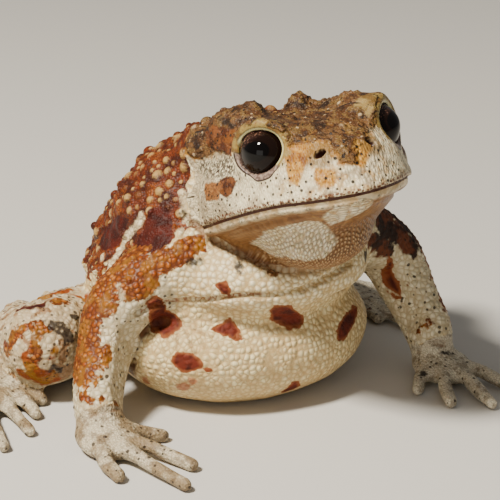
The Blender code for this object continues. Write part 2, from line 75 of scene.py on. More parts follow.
# Mouth and eyes, in the head's frame.
SNOUT_LENGTH = 27.4
JAW_HALF_WIDTH = 16.2
EYE_PLACE = (14.2, 8.35, 9.45)
EYE_RADIUS = 4.2
EYE_LOOK = (0.70, 0.68, 0.12)
EYE_OPENING = (3.9, 3.1)
CORNEA_REACH, CORNEA_RISE = 42, 0.30
NOSTRIL_PLACE = (22.4, 2.1, 6.3)
NOSTRIL_LOOK = (0.55, 0.62, 0.55)
NOSTRIL_SIZE = (0.47, 0.74)
NOSTRIL_DEPTH = 1.5
NOSTRIL_SLANT = 25

# Nodes of flesh, which one skin replaces, and what kind of part each is.
LIMB_PARTS = ("upper_arm", "forearm", "hand", "thigh", "shank", "foot")
PART_KINDS = {
    "head": "head", "torso": "torso", "upper_arm": "arm", "forearm": "arm", "hand": "hand", "thigh": "leg",
    "shank": "leg", "foot": "hand",
}
FLESH = ("head", "torso", *(f"{part}_{side}" for side in SIDES for part in LIMB_PARTS))

# Swellings of the crown in the head's frame: place, radius and height; and the lower jaw's tuck.
CROWN_SWELLINGS = (
    (2.0, 1.0, 15.4, 3.0, 0.75), (1.3, -11.4, 14.6, 3.6, 0.9), (-1.5, -3.0, 15.2, 2.2, 0.4),
    (7.5, 4.6, 15.2, 2.6, 0.45), (12.0, 6.2, 15.8, 2.2, 0.4), (5.0, -6.6, 16.0, 2.0, 0.4),
    (14.5, -1.5, 14.0, 2.0, 0.3), (-8.0, 1.0, 15.4, 3.6, -0.8),
)
JAW_TUCK = 0.5
# The face's pattern runs round a point this far forward in the head, at this distance.
FACE_MIDDLE, FACE_REACH = 8.0, 16.5

# How far each solid is swollen so that its neighbour's gap closes, and how far the skin goes back.
SWELL, SHRINK = 0.26, 0.16
BASE_STEP, BASE_EASE = 0.5, 9
FINE_STEP, FINE_EASE = 0.3, 2
SKIN_TRIANGLES = 192000
# How strongly the thinning of the mesh spares its finely shaped places.
DETAIL_PULL = 4e-7
# Uneven swellings of the whole skin: width, height and seed.
LUMPS = (5.5, 0.22, 1)

# Warts of each region: smallest radius, what is added at most, its power, room round each and rise per radius.
WART_KINDS = {
    "back": (0.5, 0.75, 1.6, 1.04, 0.55), "leg": (0.45, 0.5, 1.5, 1.35, 0.42),
    "crown": (0.30, 0.45, 2, 1.35, 0.6), "arm": (0.36, 0.2, 2, 1.25, 0.3),
}
WART_SEED, SCATTER_TRIES = 11, 16000
NAMED_RISE = 0.5
TAN_SHADE, PALE_SHADE = 0.85, 1.6

# Folds pressed into the skin, with painted shade laid along them: points of the figure, half width and depth.
FOLDS = {
    "throat": (((-9.4, -6.6, 31.0), (-8.3, -9.5, 29.8), (-7.2, -10.6, 28.4), (-4.8, -14.4, 27.3), (-2.2, -17.5, 26.0),
        (0.4, -19.4, 25.2), (4.2, -20.3, 24.6), (8.5, -19.6, 25.0), (13.0, -17.6, 26.6), (17.5, -14.4, 28.5)), 1.3,
        0.8),
    "chest": (((-19.6, -9.2, 17.8), (-17.7, -9.6, 18.7), (-15.0, -10.2, 19.1), (-11.4, -11.9, 19.5),
        (-8.6, -15.8, 20.6), (-5.5, -18.1, 21.4), (-1.2, -19.8, 21.3), (2.9, -20.4, 21.6), (7.5, -20.1, 22.5),
        (10.9, -19.0, 23.1), (13.8, -17.9, 23.5)), 0.8, 1.0),
    "under chest": (((-13.2, -10.5, 18.0), (-10.3, -13.1, 18.0), (-7.6, -15.6, 18.2), (-4.0, -17.6, 17.7),
        (2.2, -19.4, 17.3), (9.0, -18.8, 17.6), (14.0, -16.0, 18.4)), 1.2, 0.35),
    "armpit 1": (((-13.0, -9.8, 16.0), (-11.6, -11.8, 14.9), (-10.3, -13.4, 14.2), (-8.9, -14.8, 13.8)), 0.4, 0.3),
    "armpit 2": (((-13.0, -9.9, 15.5), (-12.6, -11.8, 14.1), (-12.4, -13.4, 12.6), (-12.2, -14.4, 11.4)), 0.4, 0.3),
    "armpit 3": (((-12.6, -10.0, 16.5), (-10.5, -11.5, 16.0), (-8.6, -12.9, 15.8), (-6.4, -14.1, 15.8)), 0.4, 0.3),
    "armpit 4": (((-13.4, -9.6, 15.2), (-13.8, -11.0, 13.7), (-14.4, -12.2, 11.9)), 0.4, 0.3),
    "armpit 5": (((-12.8, -9.9, 15.8), (-12.0, -11.7, 14.5), (-11.2, -13.6, 13.3), (-10.6, -15.0, 12.4)), 0.35, 0.22),
    "armpit 6": (((-12.4, -10.2, 16.2), (-10.8, -12.2, 15.4), (-9.2, -13.6, 15.0), (-7.4, -14.8, 14.8)), 0.35, 0.22),
    "arm gap": (((-14.5, -8.5, 15.3), (-16.9, -7.4, 14.6), (-18.5, -6.2, 12.6), (-19.2, -6.2, 10.4),
        (-19.6, -5.8, 8.0)), 1.3, 0.9),
    "shoulder": (((-15.6, -9.4, 20.4), (-17.8, -9.8, 20.1), (-18.6, -9.5, 18.6)), 0.5, 0.35),
    "right wrist": (((-32.4, -11.0, 6.4), (-30.6, -15.0, 5.7), (-28.4, -16.0, 5.8), (-25.6, -15.1, 5.5)), 0.4, 0.35),
    "right wrist above": (((-32.2, -10.0, 7.4), (-31.3, -12.1, 6.6), (-29.5, -14.5, 6.5), (-27.1, -15.4, 6.5)), 0.35,
        0.25),
    "left wrist": (((27.4, -13.8, 5.6), (28.2, -16.3, 5.3), (29.8, -17.5, 6.0), (32.2, -17.8, 5.4),
        (34.3, -15.6, 5.0)), 0.4, 0.35),
    "left wrist above": (((27.2, -13.4, 6.6), (28.0, -16.0, 6.3), (29.6, -17.1, 6.8), (31.7, -17.5, 6.5)), 0.35,
        0.25),
    "right knee": (((-22.7, 7.4, 15.0), (-24.2, 3.3, 13.2), (-26.0, 0.8, 10.2), (-26.4, 1.0, 6.7)), 0.6, 0.3),
}

# From the chest fold's path to the bottom of its groove.
FOLD_BOTTOM = (0.35, 0.7, 0.0)
# The groove of the mouth: half width and depth.
MOUTH_GROOVE = (0.45, 0.55)

# The way to the picture's right, and how far along it the right and left forearms' moves fade out and in.
ACROSS = (0.883, -0.469, 0.0)
RIGHT_ARM_END, LEFT_ARM_START = (-13.4, -12.0), (22.0, 25.0)
# The forearms are drawn outward: points of the figure, how far round them, and the move.
ARM_MOVES = (
    (((-18.6, -9.0, 15.8), (-20.3, -9.1, 14.5), (-20.9, -9.3, 13.0), (-21.8, -10.3, 11.0), (-22.8, -11.5, 9.2),
        (-23.9, -13.1, 7.6)), 4.2, (-1.25, 0.65, 0.0)),
    (((28.5, -8.5, 19.0), (29.5, -10.5, 16.0), (30.0, -12.3, 13.0), (30.8, -14.5, 9.5)), 9.0, (1.35, -0.70, 0.0)),
    (((24.6, -8.2, 18.6), (26.0, -9.2, 15.6), (27.0, -10.8, 12.6), (27.8, -12.4, 10.0)), 4.4, (1.5, -0.8, 0.0)),
)

# Coloured patches of the skin, by their corners in the figure.
BODY_PATCHES = {
    "rust": (((-9.2, -15.2, 23.3), (-7.8, -16.2, 23.6), (-7.4, -17.0, 22.3), (-7.6, -16.4, 21.0),
        (-8.9, -15.7, 22.0)), ((-1.1, -18.1, 17.9), (-1.3, -19.1, 19.3), (1.6, -19.6, 19.0), (2.6, -18.8, 17.9),
        (4.6, -17.4, 16.6), (5.8, -16.4, 15.0), (4.8, -17.2, 14.2), (1.9, -17.1, 14.4), (1.6, -16.7, 15.0),
        (-0.1, -16.6, 15.8)), ((-9.1, -13.4, 14.9), (-7.3, -13.8, 15.5), (-6.4, -14.0, 16.2), (-5.8, -14.3, 15.9),
        (-4.9, -16.3, 14.1), (-5.5, -16.7, 13.3), (-6.6, -16.1, 13.6), (-8.5, -14.3, 14.4)), ((-15.4, -12.0, 10.1),
        (-14.5, -12.3, 11.6), (-12.6, -14.1, 11.6), (-11.5, -15.3, 10.3), (-11.9, -15.2, 9.5), (-12.7, -14.6, 8.9),
        (-13.9, -13.6, 8.6), (-14.9, -12.8, 9.2)), ((-11.5, -15.4, 9.5), (-10.2, -16.2, 9.6), (-10.1, -16.3, 9.3),
        (-10.6, -16.0, 8.7), (-11.2, -15.7, 8.8)), ((-17.8, -9.4, 17.8), (-16.4, -9.6, 18.4), (-14.3, -8.8, 17.4),
        (-13.1, -9.4, 16.7), (-12.5, -10.2, 15.6), (-13.0, -10.4, 14.8), (-14.3, -10.2, 13.9), (-15.4, -9.7, 13.2),
        (-15.8, -8.3, 13.8), (-16.5, -6.9, 13.7)), ((12.2, -16.6, 12.2), (14.1, -14.9, 13.2), (18.9, -10.9, 13.1),
        (18.4, -12.1, 12.4), (13.9, -16.6, 10.3), (12.6, -17.2, 9.8), (11.4, -17.6, 10.5)), ((-18.4, -9.6, 19.6),
        (-16.7, -10.1, 20.6), (-15.7, -10.0, 19.9), (-14.8, -9.5, 18.4), (-15.2, -9.0, 17.5), (-16.7, -9.6, 18.5),
        (-17.6, -9.4, 17.9)), ((1.9, -16.0, 2.6), (2.1, -18.3, 5.2), (3.5, -18.4, 5.5), (5.3, -16.6, 3.3),
        (3.8, -15.6, 2.2)), ((25.0, -8.6, 19.4), (26.4, -9.4, 18.4), (27.9, -10.9, 14.6), (27.8, -12.2, 12.6),
        (26.9, -11.6, 13.4)),),
    "rosy": (((-13.5, -13.8, 7.7), (-12.0, -15.0, 7.9), (-12.0, -14.6, 6.9), (-12.6, -13.7, 6.0),
        (-13.2, -13.5, 6.5)), ((-14.5, -12.1, 6.1), (-13.5, -13.4, 6.7), (-12.6, -13.6, 5.7), (-12.4, -12.5, 4.4),
        (-14.1, -11.3, 4.8)), ((-18.0, -6.6, 6.0), (-17.8, -8.2, 7.1), (-16.4, -6.9, 4.2), (-17.0, -5.6, 4.4)),),
    "brick": (((-14.6, -2.4, 31.4), (-13.2, -2.8, 32.5), (-12.0, -4.6, 32.3), (-11.7, -5.8, 31.0),
        (-13.2, -8.6, 28.4), (-14.6, -8.0, 27.7), (-16.4, -6.8, 26.4), (-19.3, -4.9, 25.0), (-16.6, -1.9, 26.0),
        (-15.7, -2.8, 28.6)), ((-15.0, 13.5, 24.4), (-16.3, 4.3, 29.3), (-16.2, 0.4, 29.8), (-16.9, 2.9, 26.4),
        (-17.6, 4.0, 24.1), (-18.8, 5.4, 22.9), (-17.0, 10.6, 22.5)),),
}

# Coloured marks of the skin: paths in the figure, and radius.
BODY_MARKS = {
    "ink": ((((-11.7, -11.6, 25.9), (-10.5, -12.0, 25.8)), 0.55), (((-4.8, -14.4, 27.3), (-5.7, -16.9, 24.8)), 0.4),
        (((-16.6, -8.1, 13.0),), 0.45), (((18.0, -14.9, 22.5), (18.9, -13.7, 23.0)), 0.5), (((-10.4, -6.4, 32.0),),
        0.5), (((-29.8, 2.2, 13.9), (-27.4, 1.4, 12.8), (-27.3, 0.2, 11.5)), 0.8), (((-24.9, 3.5, 14.0),), 0.45),
        (((-30.9, 1.6, 12.9),), 0.4), (((-31.1, 0.4, 7.6), (-29.1, 0.4, 6.6)), 0.55), (((30.9, -18.3, 4.4),
        (32.8, -19.1, 4.0)), 0.35), (((26.5, -20.0, 2.6),), 0.6),),
    "orange": ((((-10.2, -10.5, 28.2), (-14.3, -9.9, 26.4), (-17.8, -8.3, 24.6), (-21.4, -6.7, 22.7),
        (-24.2, -5.3, 20.5)), 1.9), (((-24.2, -5.3, 20.5), (-25.5, -5.1, 16.5), (-27.3, -8.0, 13.7),
        (-28.8, -10.1, 11.0)), 2.0), (((-17.6, -9.5, 22.6), (-19.9, -8.8, 21.4)), 1.5), (((-25.6, -9.9, 13.3),
        (-26.2, -11.1, 11.8)), 0.95), (((-23.9, -7.6, 19.1),), 1.3), (((-30.9, -12.1, 7.8), (-30.2, -13.8, 7.3)),
        0.75), (((-30.2, -13.8, 7.3), (-28.8, -14.8, 7.4), (-27.2, -14.9, 7.5)), 0.35), (((-26.4, -15.0, 6.2),), 0.6),
        (((-28.1, 6.6, 15.6), (-25.8, 6.6, 15.8)), 1.0), (((-35.7, 6.7, 9.1), (-35.5, 5.2, 10.6), (-34.5, 4.6, 12.4),
        (-33.0, 3.6, 13.8), (-30.7, 1.8, 13.4)), 1.0), (((-33.3, 9.3, 3.0), (-31.8, 6.8, 2.2)), 1.2),
        (((-32.6, 1.7, 11.7), (-33.1, 1.2, 9.6)), 0.95), (((35.4, -15.0, 8.6),), 1.0), (((28.7, -13.9, 11.5),
        (28.4, -14.8, 10.1), (27.9, -15.3, 8.2)), 0.7), (((29.6, -16.1, 9.1),), 0.7), (((28.8, -11.5, 15.1),), 0.4),
        (((33.9, -8.9, 18.2), (35.2, -9.3, 14.5), (36.0, -11.8, 11.0)), 1.0),),
    "cream": ((((-14.9, -1.2, 30.8), (-15.7, -0.9, 29.0), (-16.2, 0.2, 27.7), (-16.7, 2.1, 25.2), (-17.7, 2.6, 23.0),
        (-18.8, 2.6, 22.0)), 0.75), (((-18.4, 6.7, 21.6),), 0.7), (((-9.6, -4.9, 34.8), (-10.1, -6.2, 33.1),
        (-10.0, -7.4, 31.0)), 0.45), (((-11.6, -7.9, 29.7),), 0.6), (((-21.8, -6.8, 22.1), (-21.7, -8.0, 21.0)), 0.4),
        (((-24.8, -8.9, 15.7),), 0.85),),
    "brick": ((((-32.1, 9.1, 14.4), (-31.3, 6.8, 15.3), (-29.8, 6.2, 15.7), (-28.3, 6.4, 15.7)), 0.7),),
    # Maroon together with painted shade of the gap between the right arm and the belly.
    "maroon_and_gap_shade": ((((-16.9, -7.4, 14.6), (-18.5, -6.2, 12.6), (-19.2, -6.2, 10.4), (-19.6, -5.8, 8.0),
        (-18.7, -4.0, 5.9)), 0.9),),
    # Painted shadow on the left arm's top.
    "shade": ((((23.4, -10.6, 26.4), (27.2, -9.2, 23.1), (30.0, -9.0, 20.3)), 1.9), (((20.9, -12.3, 24.2),
        (24.8, -10.0, 21.1)), 1.5),),
}

# Patches and marks of the head, in its own frame.
HEAD_PATCHES = {
    "ochre": (((19.6, -7.2, 11.6), (20.1, -6.2, 10.8), (21.6, -4.6, 10.0), (22.9, -4.2, 9.3), (23.5, -5.4, 7.4),
        (23.1, -6.4, 6.5), (22.8, -7.1, 5.3), (22.5, -7.7, 4.4), (21.8, -8.1, 5.3), (21.2, -8.0, 7.0),
        (20.2, -7.6, 9.0)), ((24.6, -5.0, 5.7), (25.3, -4.2, 5.6), (26.0, -3.3, 5.2), (26.4, -3.1, 4.2),
        (26.0, -4.0, 3.3), (25.3, -5.0, 3.3), (24.8, -5.4, 4.3)), ((19.5, 3.2, 11.3), (23.0, 3.2, 9.3),
        (24.8, 3.6, 7.2), (26.0, 1.8, 6.0), (26.6, 1.0, 4.6), (26.3, 0.3, 5.9), (25.2, 1.0, 7.7), (22.9, 1.4, 9.6),
        (20.7, 2.0, 10.7)), ((6.4, -11.2, 13.4), (9.6, -11.0, 13.6), (11.2, -12.2, 12.4), (10.4, -13.2, 10.6),
        (8.0, -13.0, 11.0), (6.4, -12.0, 12.0)),),
    "rust": (((0.6, -12.2, 13.6), (5.1, -11.3, 14.2), (7.3, -10.8, 13.4), (9.3, -12.4, 11.8), (8.5, -13.5, 10.4),
        (3.8, -13.0, 10.9), (0.0, -12.7, 11.6)), ((7.3, -14.4, 6.7), (8.4, -13.7, 7.0), (10.6, -13.1, 6.6),
        (11.6, -13.2, 5.3), (9.6, -14.7, 3.8), (8.0, -15.0, 4.4)),),
    "tan": (((3.1, -15.7, 6.5), (8.0, -14.8, 6.3), (8.3, -15.4, 3.9), (4.4, -16.4, 3.7)),),
    "grey": (((-2.0, -14.0, 9.8), (10.4, -13.4, 9.6), (11.0, -13.6, 7.4), (7.5, -14.1, 7.1), (2.3, -15.3, 6.7),
        (-3.7, -14.4, 8.0)),),
    "pale": (((16.6, 5.2, 13.5), (16.2, 6.4, 14.3), (15.7, 8.5, 14.7), (17.3, 9.4, 14.3), (19.5, 7.6, 12.1),
        (19.7, 6.3, 11.5)),),
    "patch": (((2.6, -10.5, -4.1), (10.9, -10.0, -2.1), (15.3, -8.3, -1.6), (18.6, -6.3, -1.4), (19.3, -4.1, -2.1),
        (16.9, -2.2, -3.8), (16.1, -1.4, -5.7), (14.2, -3.0, -7.7), (10.4, -7.7, -6.5), (3.1, -8.3, -5.9)),
        ((21.4, -4.6, -1.1), (26.0, -3.9, 0.0), (26.8, -1.5, 0.4), (27.0, 1.0, 0.2), (24.7, 2.4, -0.5),
        (22.2, -0.2, -1.9), (18.5, -2.6, -2.9)),),
}
HEAD_MARKS = {
    "ink": ((((1.3, -11.4, 15.1), (3.9, -11.0, 15.0), (6.3, -10.7, 14.3)), 0.7), (((-2.1, -12.2, 14.5),
        (-1.9, -10.9, 15.1)), 0.4)),
}

# Warts that stand out on the right side of the back: their places and radii, tan ones and pale ones.
TAN_WARTS = (
    (-11.3, 0.5, 36.5, 1.15), (-9.9, -0.6, 37.3, 0.9), (-10.6, -2.6, 35.7, 0.9), (-12.2, -1.9, 34.7, 0.95),
    (-8.5, -3.3, 38.4, 1.05), (-13.5, -1.2, 33.4, 0.8), (-15.6, 1.3, 30.9, 0.85), (-15.8, 2.6, 32.9, 0.9),
    (-9.6, 6.3, 37.7, 1.0), (-11.6, -3.5, 34.1, 0.6), (-16.0, 5.1, 31.2, 0.8), (-13.3, 2.0, 34.8, 0.7),
)
PALE_WARTS = (
    (-9.6, -4.9, 34.8, 0.8), (-11.8, -8.3, 29.4, 0.9), (-10.0, -7.4, 31.0, 0.55), (-14.9, -1.2, 30.8, 0.75),
    (-16.2, 0.2, 27.7, 0.65), (-16.6, 1.9, 25.4, 0.7), (-17.7, 2.5, 23.0, 0.75), (-18.8, 2.5, 21.9, 0.6),
    (-15.7, -0.9, 29.3, 0.6), (-17.0, 2.8, 24.1, 0.55), (-18.3, 6.8, 21.8, 0.8),
)

# Colours of skin and eyes, some of them painted light and shade: shadow on the left arm's top, highlights on orange
# granules and throat scales, shade in the folds, the mouth's slit, the nostrils and the gap by the right arm, a partly
# lit pale left hand, and the iris's sheen and glints.
COLOURS = {
    "belly low": (0.70, 0.54, 0.28), "belly high": (0.87, 0.75, 0.44), "belly joint": (0.40, 0.25, 0.10),
    "chest white": (0.95, 0.88, 0.66), "leg tan": (0.36, 0.23, 0.12), "belly tan": (0.52, 0.34, 0.14),
    "limb low": (0.54, 0.46, 0.29), "limb high": (0.78, 0.70, 0.50), "limb joint": (0.36, 0.27, 0.15),
    "leg blotch": (0.22, 0.10, 0.035), "hand low": (0.30, 0.22, 0.125), "hand high": (0.60, 0.52, 0.36),
    "hand line": (0.12, 0.075, 0.040), "hand pale and lit": (0.74, 0.68, 0.53), "back deep": (0.045, 0.008, 0.003),
    "back rust": (0.155, 0.026, 0.003), "back joint": (0.028, 0.008, 0.004), "back orange": (0.25, 0.060, 0.006),
    "wart brown": (0.17, 0.062, 0.015), "wart tan": (0.38, 0.23, 0.075), "wart pale": (0.66, 0.54, 0.33),
    "orange low": (0.24, 0.048, 0.004), "orange high": (0.34, 0.105, 0.010), "orange joint": (0.08, 0.018, 0.004),
    "orange painted highlight": (0.45, 0.17, 0.042), "orange olive": (0.27, 0.115, 0.012), "painted shadow deep": (0.020, 0.008, 0.004),
    "painted shadow brown": (0.11, 0.030, 0.010), "cream low": (0.60, 0.48, 0.28), "cream high": (0.78, 0.68, 0.46),
    "cheek white": (0.84, 0.74, 0.49), "cheek grey": (0.46, 0.37, 0.235), "cheek joint": (0.22, 0.15, 0.09),
    "grey deep": (0.10, 0.075, 0.05), "throat low": (0.155, 0.064, 0.020), "throat high": (0.25, 0.120, 0.040),
    "throat joint": (0.09, 0.035, 0.012), "throat glint": (0.62, 0.42, 0.22), "patch low": (0.78, 0.63, 0.37),
    "patch high": (0.94, 0.85, 0.62), "patch joint": (0.24, 0.11, 0.04), "crown deep": (0.022, 0.010, 0.005),
    "crown brown": (0.095, 0.038, 0.012), "crown tan": (0.17, 0.080, 0.026), "crown olive": (0.19, 0.105, 0.030),
    "crown wart": (0.50, 0.37, 0.22), "ochre": (0.32, 0.130, 0.018), "ochre deep": (0.17, 0.055, 0.010),
    "ochre pale": (0.50, 0.27, 0.060), "tan": (0.31, 0.130, 0.038), "tan deep": (0.20, 0.072, 0.021),
    "maroon_and_gap_shade": (0.055, 0.012, 0.006), "face rust": (0.17, 0.058, 0.017), "face rust deep": (0.06, 0.017, 0.006),
    "ridge pale": (0.28, 0.19, 0.062), "dot": (0.018, 0.011, 0.008), "lip brown": (0.12, 0.030, 0.010),
    "mark deep": (0.060, 0.008, 0.004), "mark rust": (0.13, 0.017, 0.006), "mark rim": (0.23, 0.066, 0.020),
    "brick deep": (0.028, 0.003, 0.001), "brick": (0.080, 0.008, 0.002), "rosy": (0.36, 0.12, 0.050),
    "lip low": (0.52, 0.35, 0.17), "lip pale": (0.78, 0.63, 0.40), "mouth slit shade": (0.060, 0.016, 0.008),
    "lid olive": (0.14, 0.076, 0.018), "lid pale": (0.27, 0.185, 0.052), "lid rim": (0.60, 0.54, 0.27),
    "under lid": (0.13, 0.085, 0.070), "under lid pale": (0.32, 0.23, 0.18), "lid line": (0.030, 0.018, 0.014),
    "pit": (0.030, 0.009, 0.006), "fold_shade": (0.15, 0.060, 0.022), "fold rust": (0.22, 0.055, 0.018),
    "pupil": (0.002, 0.0015, 0.0015), "iris dark": (0.007, 0.003, 0.002), "iris copper and glint": (0.45, 0.22, 0.15),
    "iris painted sheen": (0.035, 0.016, 0.012),
}

# Floor, camera and light.
FLOOR_SIZE, FLOOR_COLOUR = 3000, (0.62, 0.60, 0.56)
ROOM_COLOUR, ROOM_STRENGTH = (0.86, 0.84, 0.80), 0.27
# Each light's turn, rise, distance, width, power and colour.
LIGHTS = {
    "key_light": (-76, 56, 620, 85, 8.6, (1.0, 0.93, 0.81)),
    "fill_light": (-50, 8, 700, 400, 0.9, (1.0, 0.96, 0.89)),
}
CAMERA_TARGET = (0.2, -9.0, 25.0)
CAMERA_TURN, CAMERA_RISE, CAMERA_AWAY = -28, 20, 300
PICTURE_WIDTH = 500 / 6.3
SENSOR = 36


def head_matrix():
    """The head's frame in the figure's."""
    yaw, pitch, roll = (math.radians(a) for a in (HEAD_YAW, HEAD_PITCH, HEAD_ROLL))
    flat = math.cos(pitch)
    forward = Vector((math.sin(yaw) * flat, -math.cos(yaw) * flat, math.sin(pitch)))
    level = Vector((math.cos(yaw), math.sin(yaw), 0.0))
    left = level * math.cos(roll) + forward.cross(level) * math.sin(roll)
    turn = Matrix((forward, left, forward.cross(left))).transposed()
    return Matrix.Translation(HEAD_PLACE) @ turn.to_4x4()


HEAD = head_matrix()


def only(obj):
    """The only object that is selected, and the active one."""
    bpy.ops.object.select_all(action="DESELECT")
    obj.select_set(True)
    bpy.context.view_layer.objects.active = obj
    return obj


def shape(obj, kind, **settings):
    """A modifier with these settings, applied to the object."""
    only(obj)
    modifier = obj.modifiers.new(kind.lower(), kind)
    for name, value in settings.items():
        setattr(modifier, name, value)
    bpy.ops.object.modifier_apply(modifier=modifier.name)
    return obj


def join(objects, name):
    """The objects as one, with its origin left where it is."""
    only(objects[0])
    for obj in objects[1:]:
        obj.select_set(True)
    bpy.ops.object.join()
    joined = bpy.context.view_layer.objects.active
    joined.name = name
    joined.data.name = name
    return joined


def merge_points(obj, distance=1e-6):
    """The object with its doubled points merged."""
    only(obj)
    bpy.ops.object.mode_set(mode="EDIT")
    bpy.ops.mesh.select_all(action="SELECT")
    bpy.ops.mesh.remove_doubles(threshold=distance)
    bpy.ops.object.mode_set(mode="OBJECT")
    return obj


def points_of(obj):
    """Vertex places in millimetres and vertex normals, as rows."""
    place = np.empty(len(obj.data.vertices) * 3)
    normal = np.empty(len(obj.data.vertices) * 3)
    obj.data.vertices.foreach_get("co", place)
    obj.data.vertex_normals.foreach_get("vector", normal)
    return place.reshape(-1, 3) / MM, normal.reshape(-1, 3)


def set_points(obj, place):
    """The vertices put at places in millimetres."""
    obj.data.vertices.foreach_set("co", (place * MM).ravel())
    obj.data.update()


def in_frame(place, frame):
    """Places of the figure in a frame of its own."""
    back = np.array(frame.inverted())
    return place @ back[:3, :3].T + back[:3, 3]


def in_head(place):
    """Places of the figure in the head's frame."""
    return in_frame(place, HEAD)


def tree_of(rows):
    """A tree that finds the rows near a place."""
    tree = KDTree(len(rows))
    for i, row in enumerate(rows):
        tree.insert(row, i)
    tree.balance()
    return tree


def add_fields(obj, fields):
    """Named values on the object's points, which its material reads."""
    for name, values in fields.items():
        field = obj.data.attributes.new(name, "FLOAT", "POINT")
        field.data.foreach_set("value", values.astype(np.float32))


def facing(turn, rise):
    """The way from the toad to a light or camera at these degrees."""
    a, e = math.radians(turn), math.radians(rise)
    return Vector((math.sin(a) * math.cos(e), -math.cos(a) * math.cos(e), math.sin(e)))


def fade(value, start, end):
    """0 before start and 1 after end, smooth between."""
    t = np.clip((value - start) / (end - start), 0, 1)
    return t * t * (3 - 2 * t)


def smooth_path(points, steps=8):
    """Rows along a smooth curve that passes through every point."""
    rows = np.array(points, float)
    rows = np.vstack([2 * rows[0] - rows[1], rows, 2 * rows[-1] - rows[-2]])
    out = []
    for a, b, c, d in zip(rows, rows[1:], rows[2:], rows[3:]):
        for i in range(steps):
            t = i / steps
            cubic = (2 * a - 5 * b + 4 * c - d) * t**2 + (3 * b - a - 3 * c + d) * t**3
            out.append(0.5 * (2 * b + (c - a) * t + cubic))
    out.append(rows[-2])
    return np.array(out)


def reach_of(place, path):
    """Distance of each place from a path, or from its one point."""
    path = np.array(path, float)
    nearest = np.linalg.norm(place - path[0], axis=1)
    for a, b in zip(path, path[1:]):
        along = np.clip(((place - a) @ (b - a)) / max((b - a) @ (b - a), 1e-12), 0, 1)
        nearest = np.minimum(nearest, np.linalg.norm(place - a - along[:, None] * (b - a), axis=1))
    return nearest


def fall_off(place, path, width):
    """1 on a path, 0 farther from it than the width."""
    return np.clip(1 - (reach_of(place, path) / width) ** 2, 0, 1) ** 2


def lip_height(share):
    """Height of the mouth at a share of the way from the snout's middle to its corner."""
    return 1.1 + 0.75 * share - 7.3 * max(share - 0.5, 0.0) ** 1.6


def lip_level(forward):
    """Height of the mouth beside each place of the head, from how far forward the place is."""
    shares = np.linspace(1, 0, 41)
    reach = SNOUT_LENGTH * (1 - shares**1.9) - 1.6 * shares**6
    return np.interp(forward, reach, [lip_height(share) for share in shares])


def mouth_line(drop=0.0, out=0.0, steps=14):
    """Points of the figure along the mouth, from its right corner round the snout to its left."""
    points = []
    for k in range(-steps, steps + 1):
        a = k / steps
        x = SNOUT_LENGTH * (1 - abs(a) ** 1.9) - 1.6 * abs(a) ** 6
        t = max(x / SNOUT_LENGTH, 0.0)
        y = JAW_HALF_WIDTH * math.sqrt(max(1 - t**1.5, 0.0)) * (1 if a > 0 else -1)
        away = Vector((t, y / JAW_HALF_WIDTH, 0.0)).normalized() * out
        points.append(tuple(HEAD @ Vector((x + away.x, y + away.y, lip_height(abs(a)) - drop))))
    return points


def eye_frame(sign):
    """Frame of one eye in the figure's: X up, Y level across it and Z along its look."""
    look = Vector((EYE_LOOK[0], sign * EYE_LOOK[1], EYE_LOOK[2])).normalized()
    across = look.cross(Vector((0.0, 0.0, 1.0))).normalized()
    turn = Matrix((across.cross(look), across, look)).transposed().to_4x4()
    place = Matrix.Translation((EYE_PLACE[0], sign * EYE_PLACE[1], EYE_PLACE[2]))
    return HEAD @ place @ turn


def roll(stations, frame=None):
    """A closed roll of flesh along stations of x, y, z and radius."""
    path = smooth_path(stations, 4)
    frame = frame or Matrix.Identity(4)
    bpy.ops.curve.primitive_nurbs_path_add()
    curve = bpy.context.object
    curve.data.splines.clear()
    spline = curve.data.splines.new("POLY")
    spline.points.add(len(path) - 1)
    for point, row in zip(spline.points, path):
        point.co = (*(frame @ Vector(row[:3]) * MM), 1.0)
        point.radius = row[3]
    curve.data.bevel_depth = MM
    curve.data.bevel_resolution = 3
    only(curve)
    bpy.ops.object.convert(target="MESH")
    pieces = [bpy.context.object]
    merge_points(pieces[0])
    bpy.ops.object.mode_set(mode="EDIT")
    bpy.ops.mesh.select_all(action="DESELECT")
    bpy.ops.mesh.select_non_manifold()
    bpy.ops.mesh.edge_face_add()
    bpy.ops.mesh.select_all(action="SELECT")
    bpy.ops.mesh.normals_make_consistent(inside=False)
    bpy.ops.object.mode_set(mode="OBJECT")
    for row in (path[0], path[-1]):
        bpy.ops.mesh.primitive_ico_sphere_add(
            subdivisions=2, radius=row[3] * MM, location=frame @ Vector(row[:3]) * MM
        )
        only(bpy.context.object)
        bpy.ops.object.transform_apply()
        pieces.append(bpy.context.object)
    return pieces


def swollen_flesh(nodes):
    """The solids of flesh as one mesh, each a little swollen so that they meet."""
    copies = []
    for name in FLESH:
        copy = bpy.data.objects.new(f"{name}_flesh", nodes[name].data.copy())
        bpy.context.scene.collection.objects.link(copy)
        merge_points(copy)
        shape(copy, "DISPLACE", strength=SWELL * MM, mid_level=0.0)
        copies.append(copy)
    return join(copies, "skin")


def lids(sign):
    """Upper and lower lid of one eye."""
    frame = eye_frame(sign)
    upper = [
        (3.95 * math.cos(a), 4.45 * math.sin(a), 2.55 + 0.2 * math.cos(a) - 0.9 * max(-sign * math.sin(a), 0),
         0.62 + 0.36 * max(math.cos(a), 0))
        for a in (math.radians(22 * k) for k in range(-5, 6))
    ]
    lower = [
        (-3.75 * math.cos(a), 4.3 * math.sin(a), 2.4 - 0.9 * max(-sign * math.sin(a), 0), 0.5)
        for a in (math.radians(20 * k) for k in range(-4, 5))
    ]
    return roll(upper, frame) + roll(lower, frame)


def lips():
    """Rolls of skin above and below the line of the mouth."""
    upper = [(*p, 0.66) for p in mouth_line(-0.68, -0.32)]
    lower = [(*p, 0.58) for p in mouth_line(0.62, -0.55)]
    return roll(upper[::2]) + roll(lower[::2])


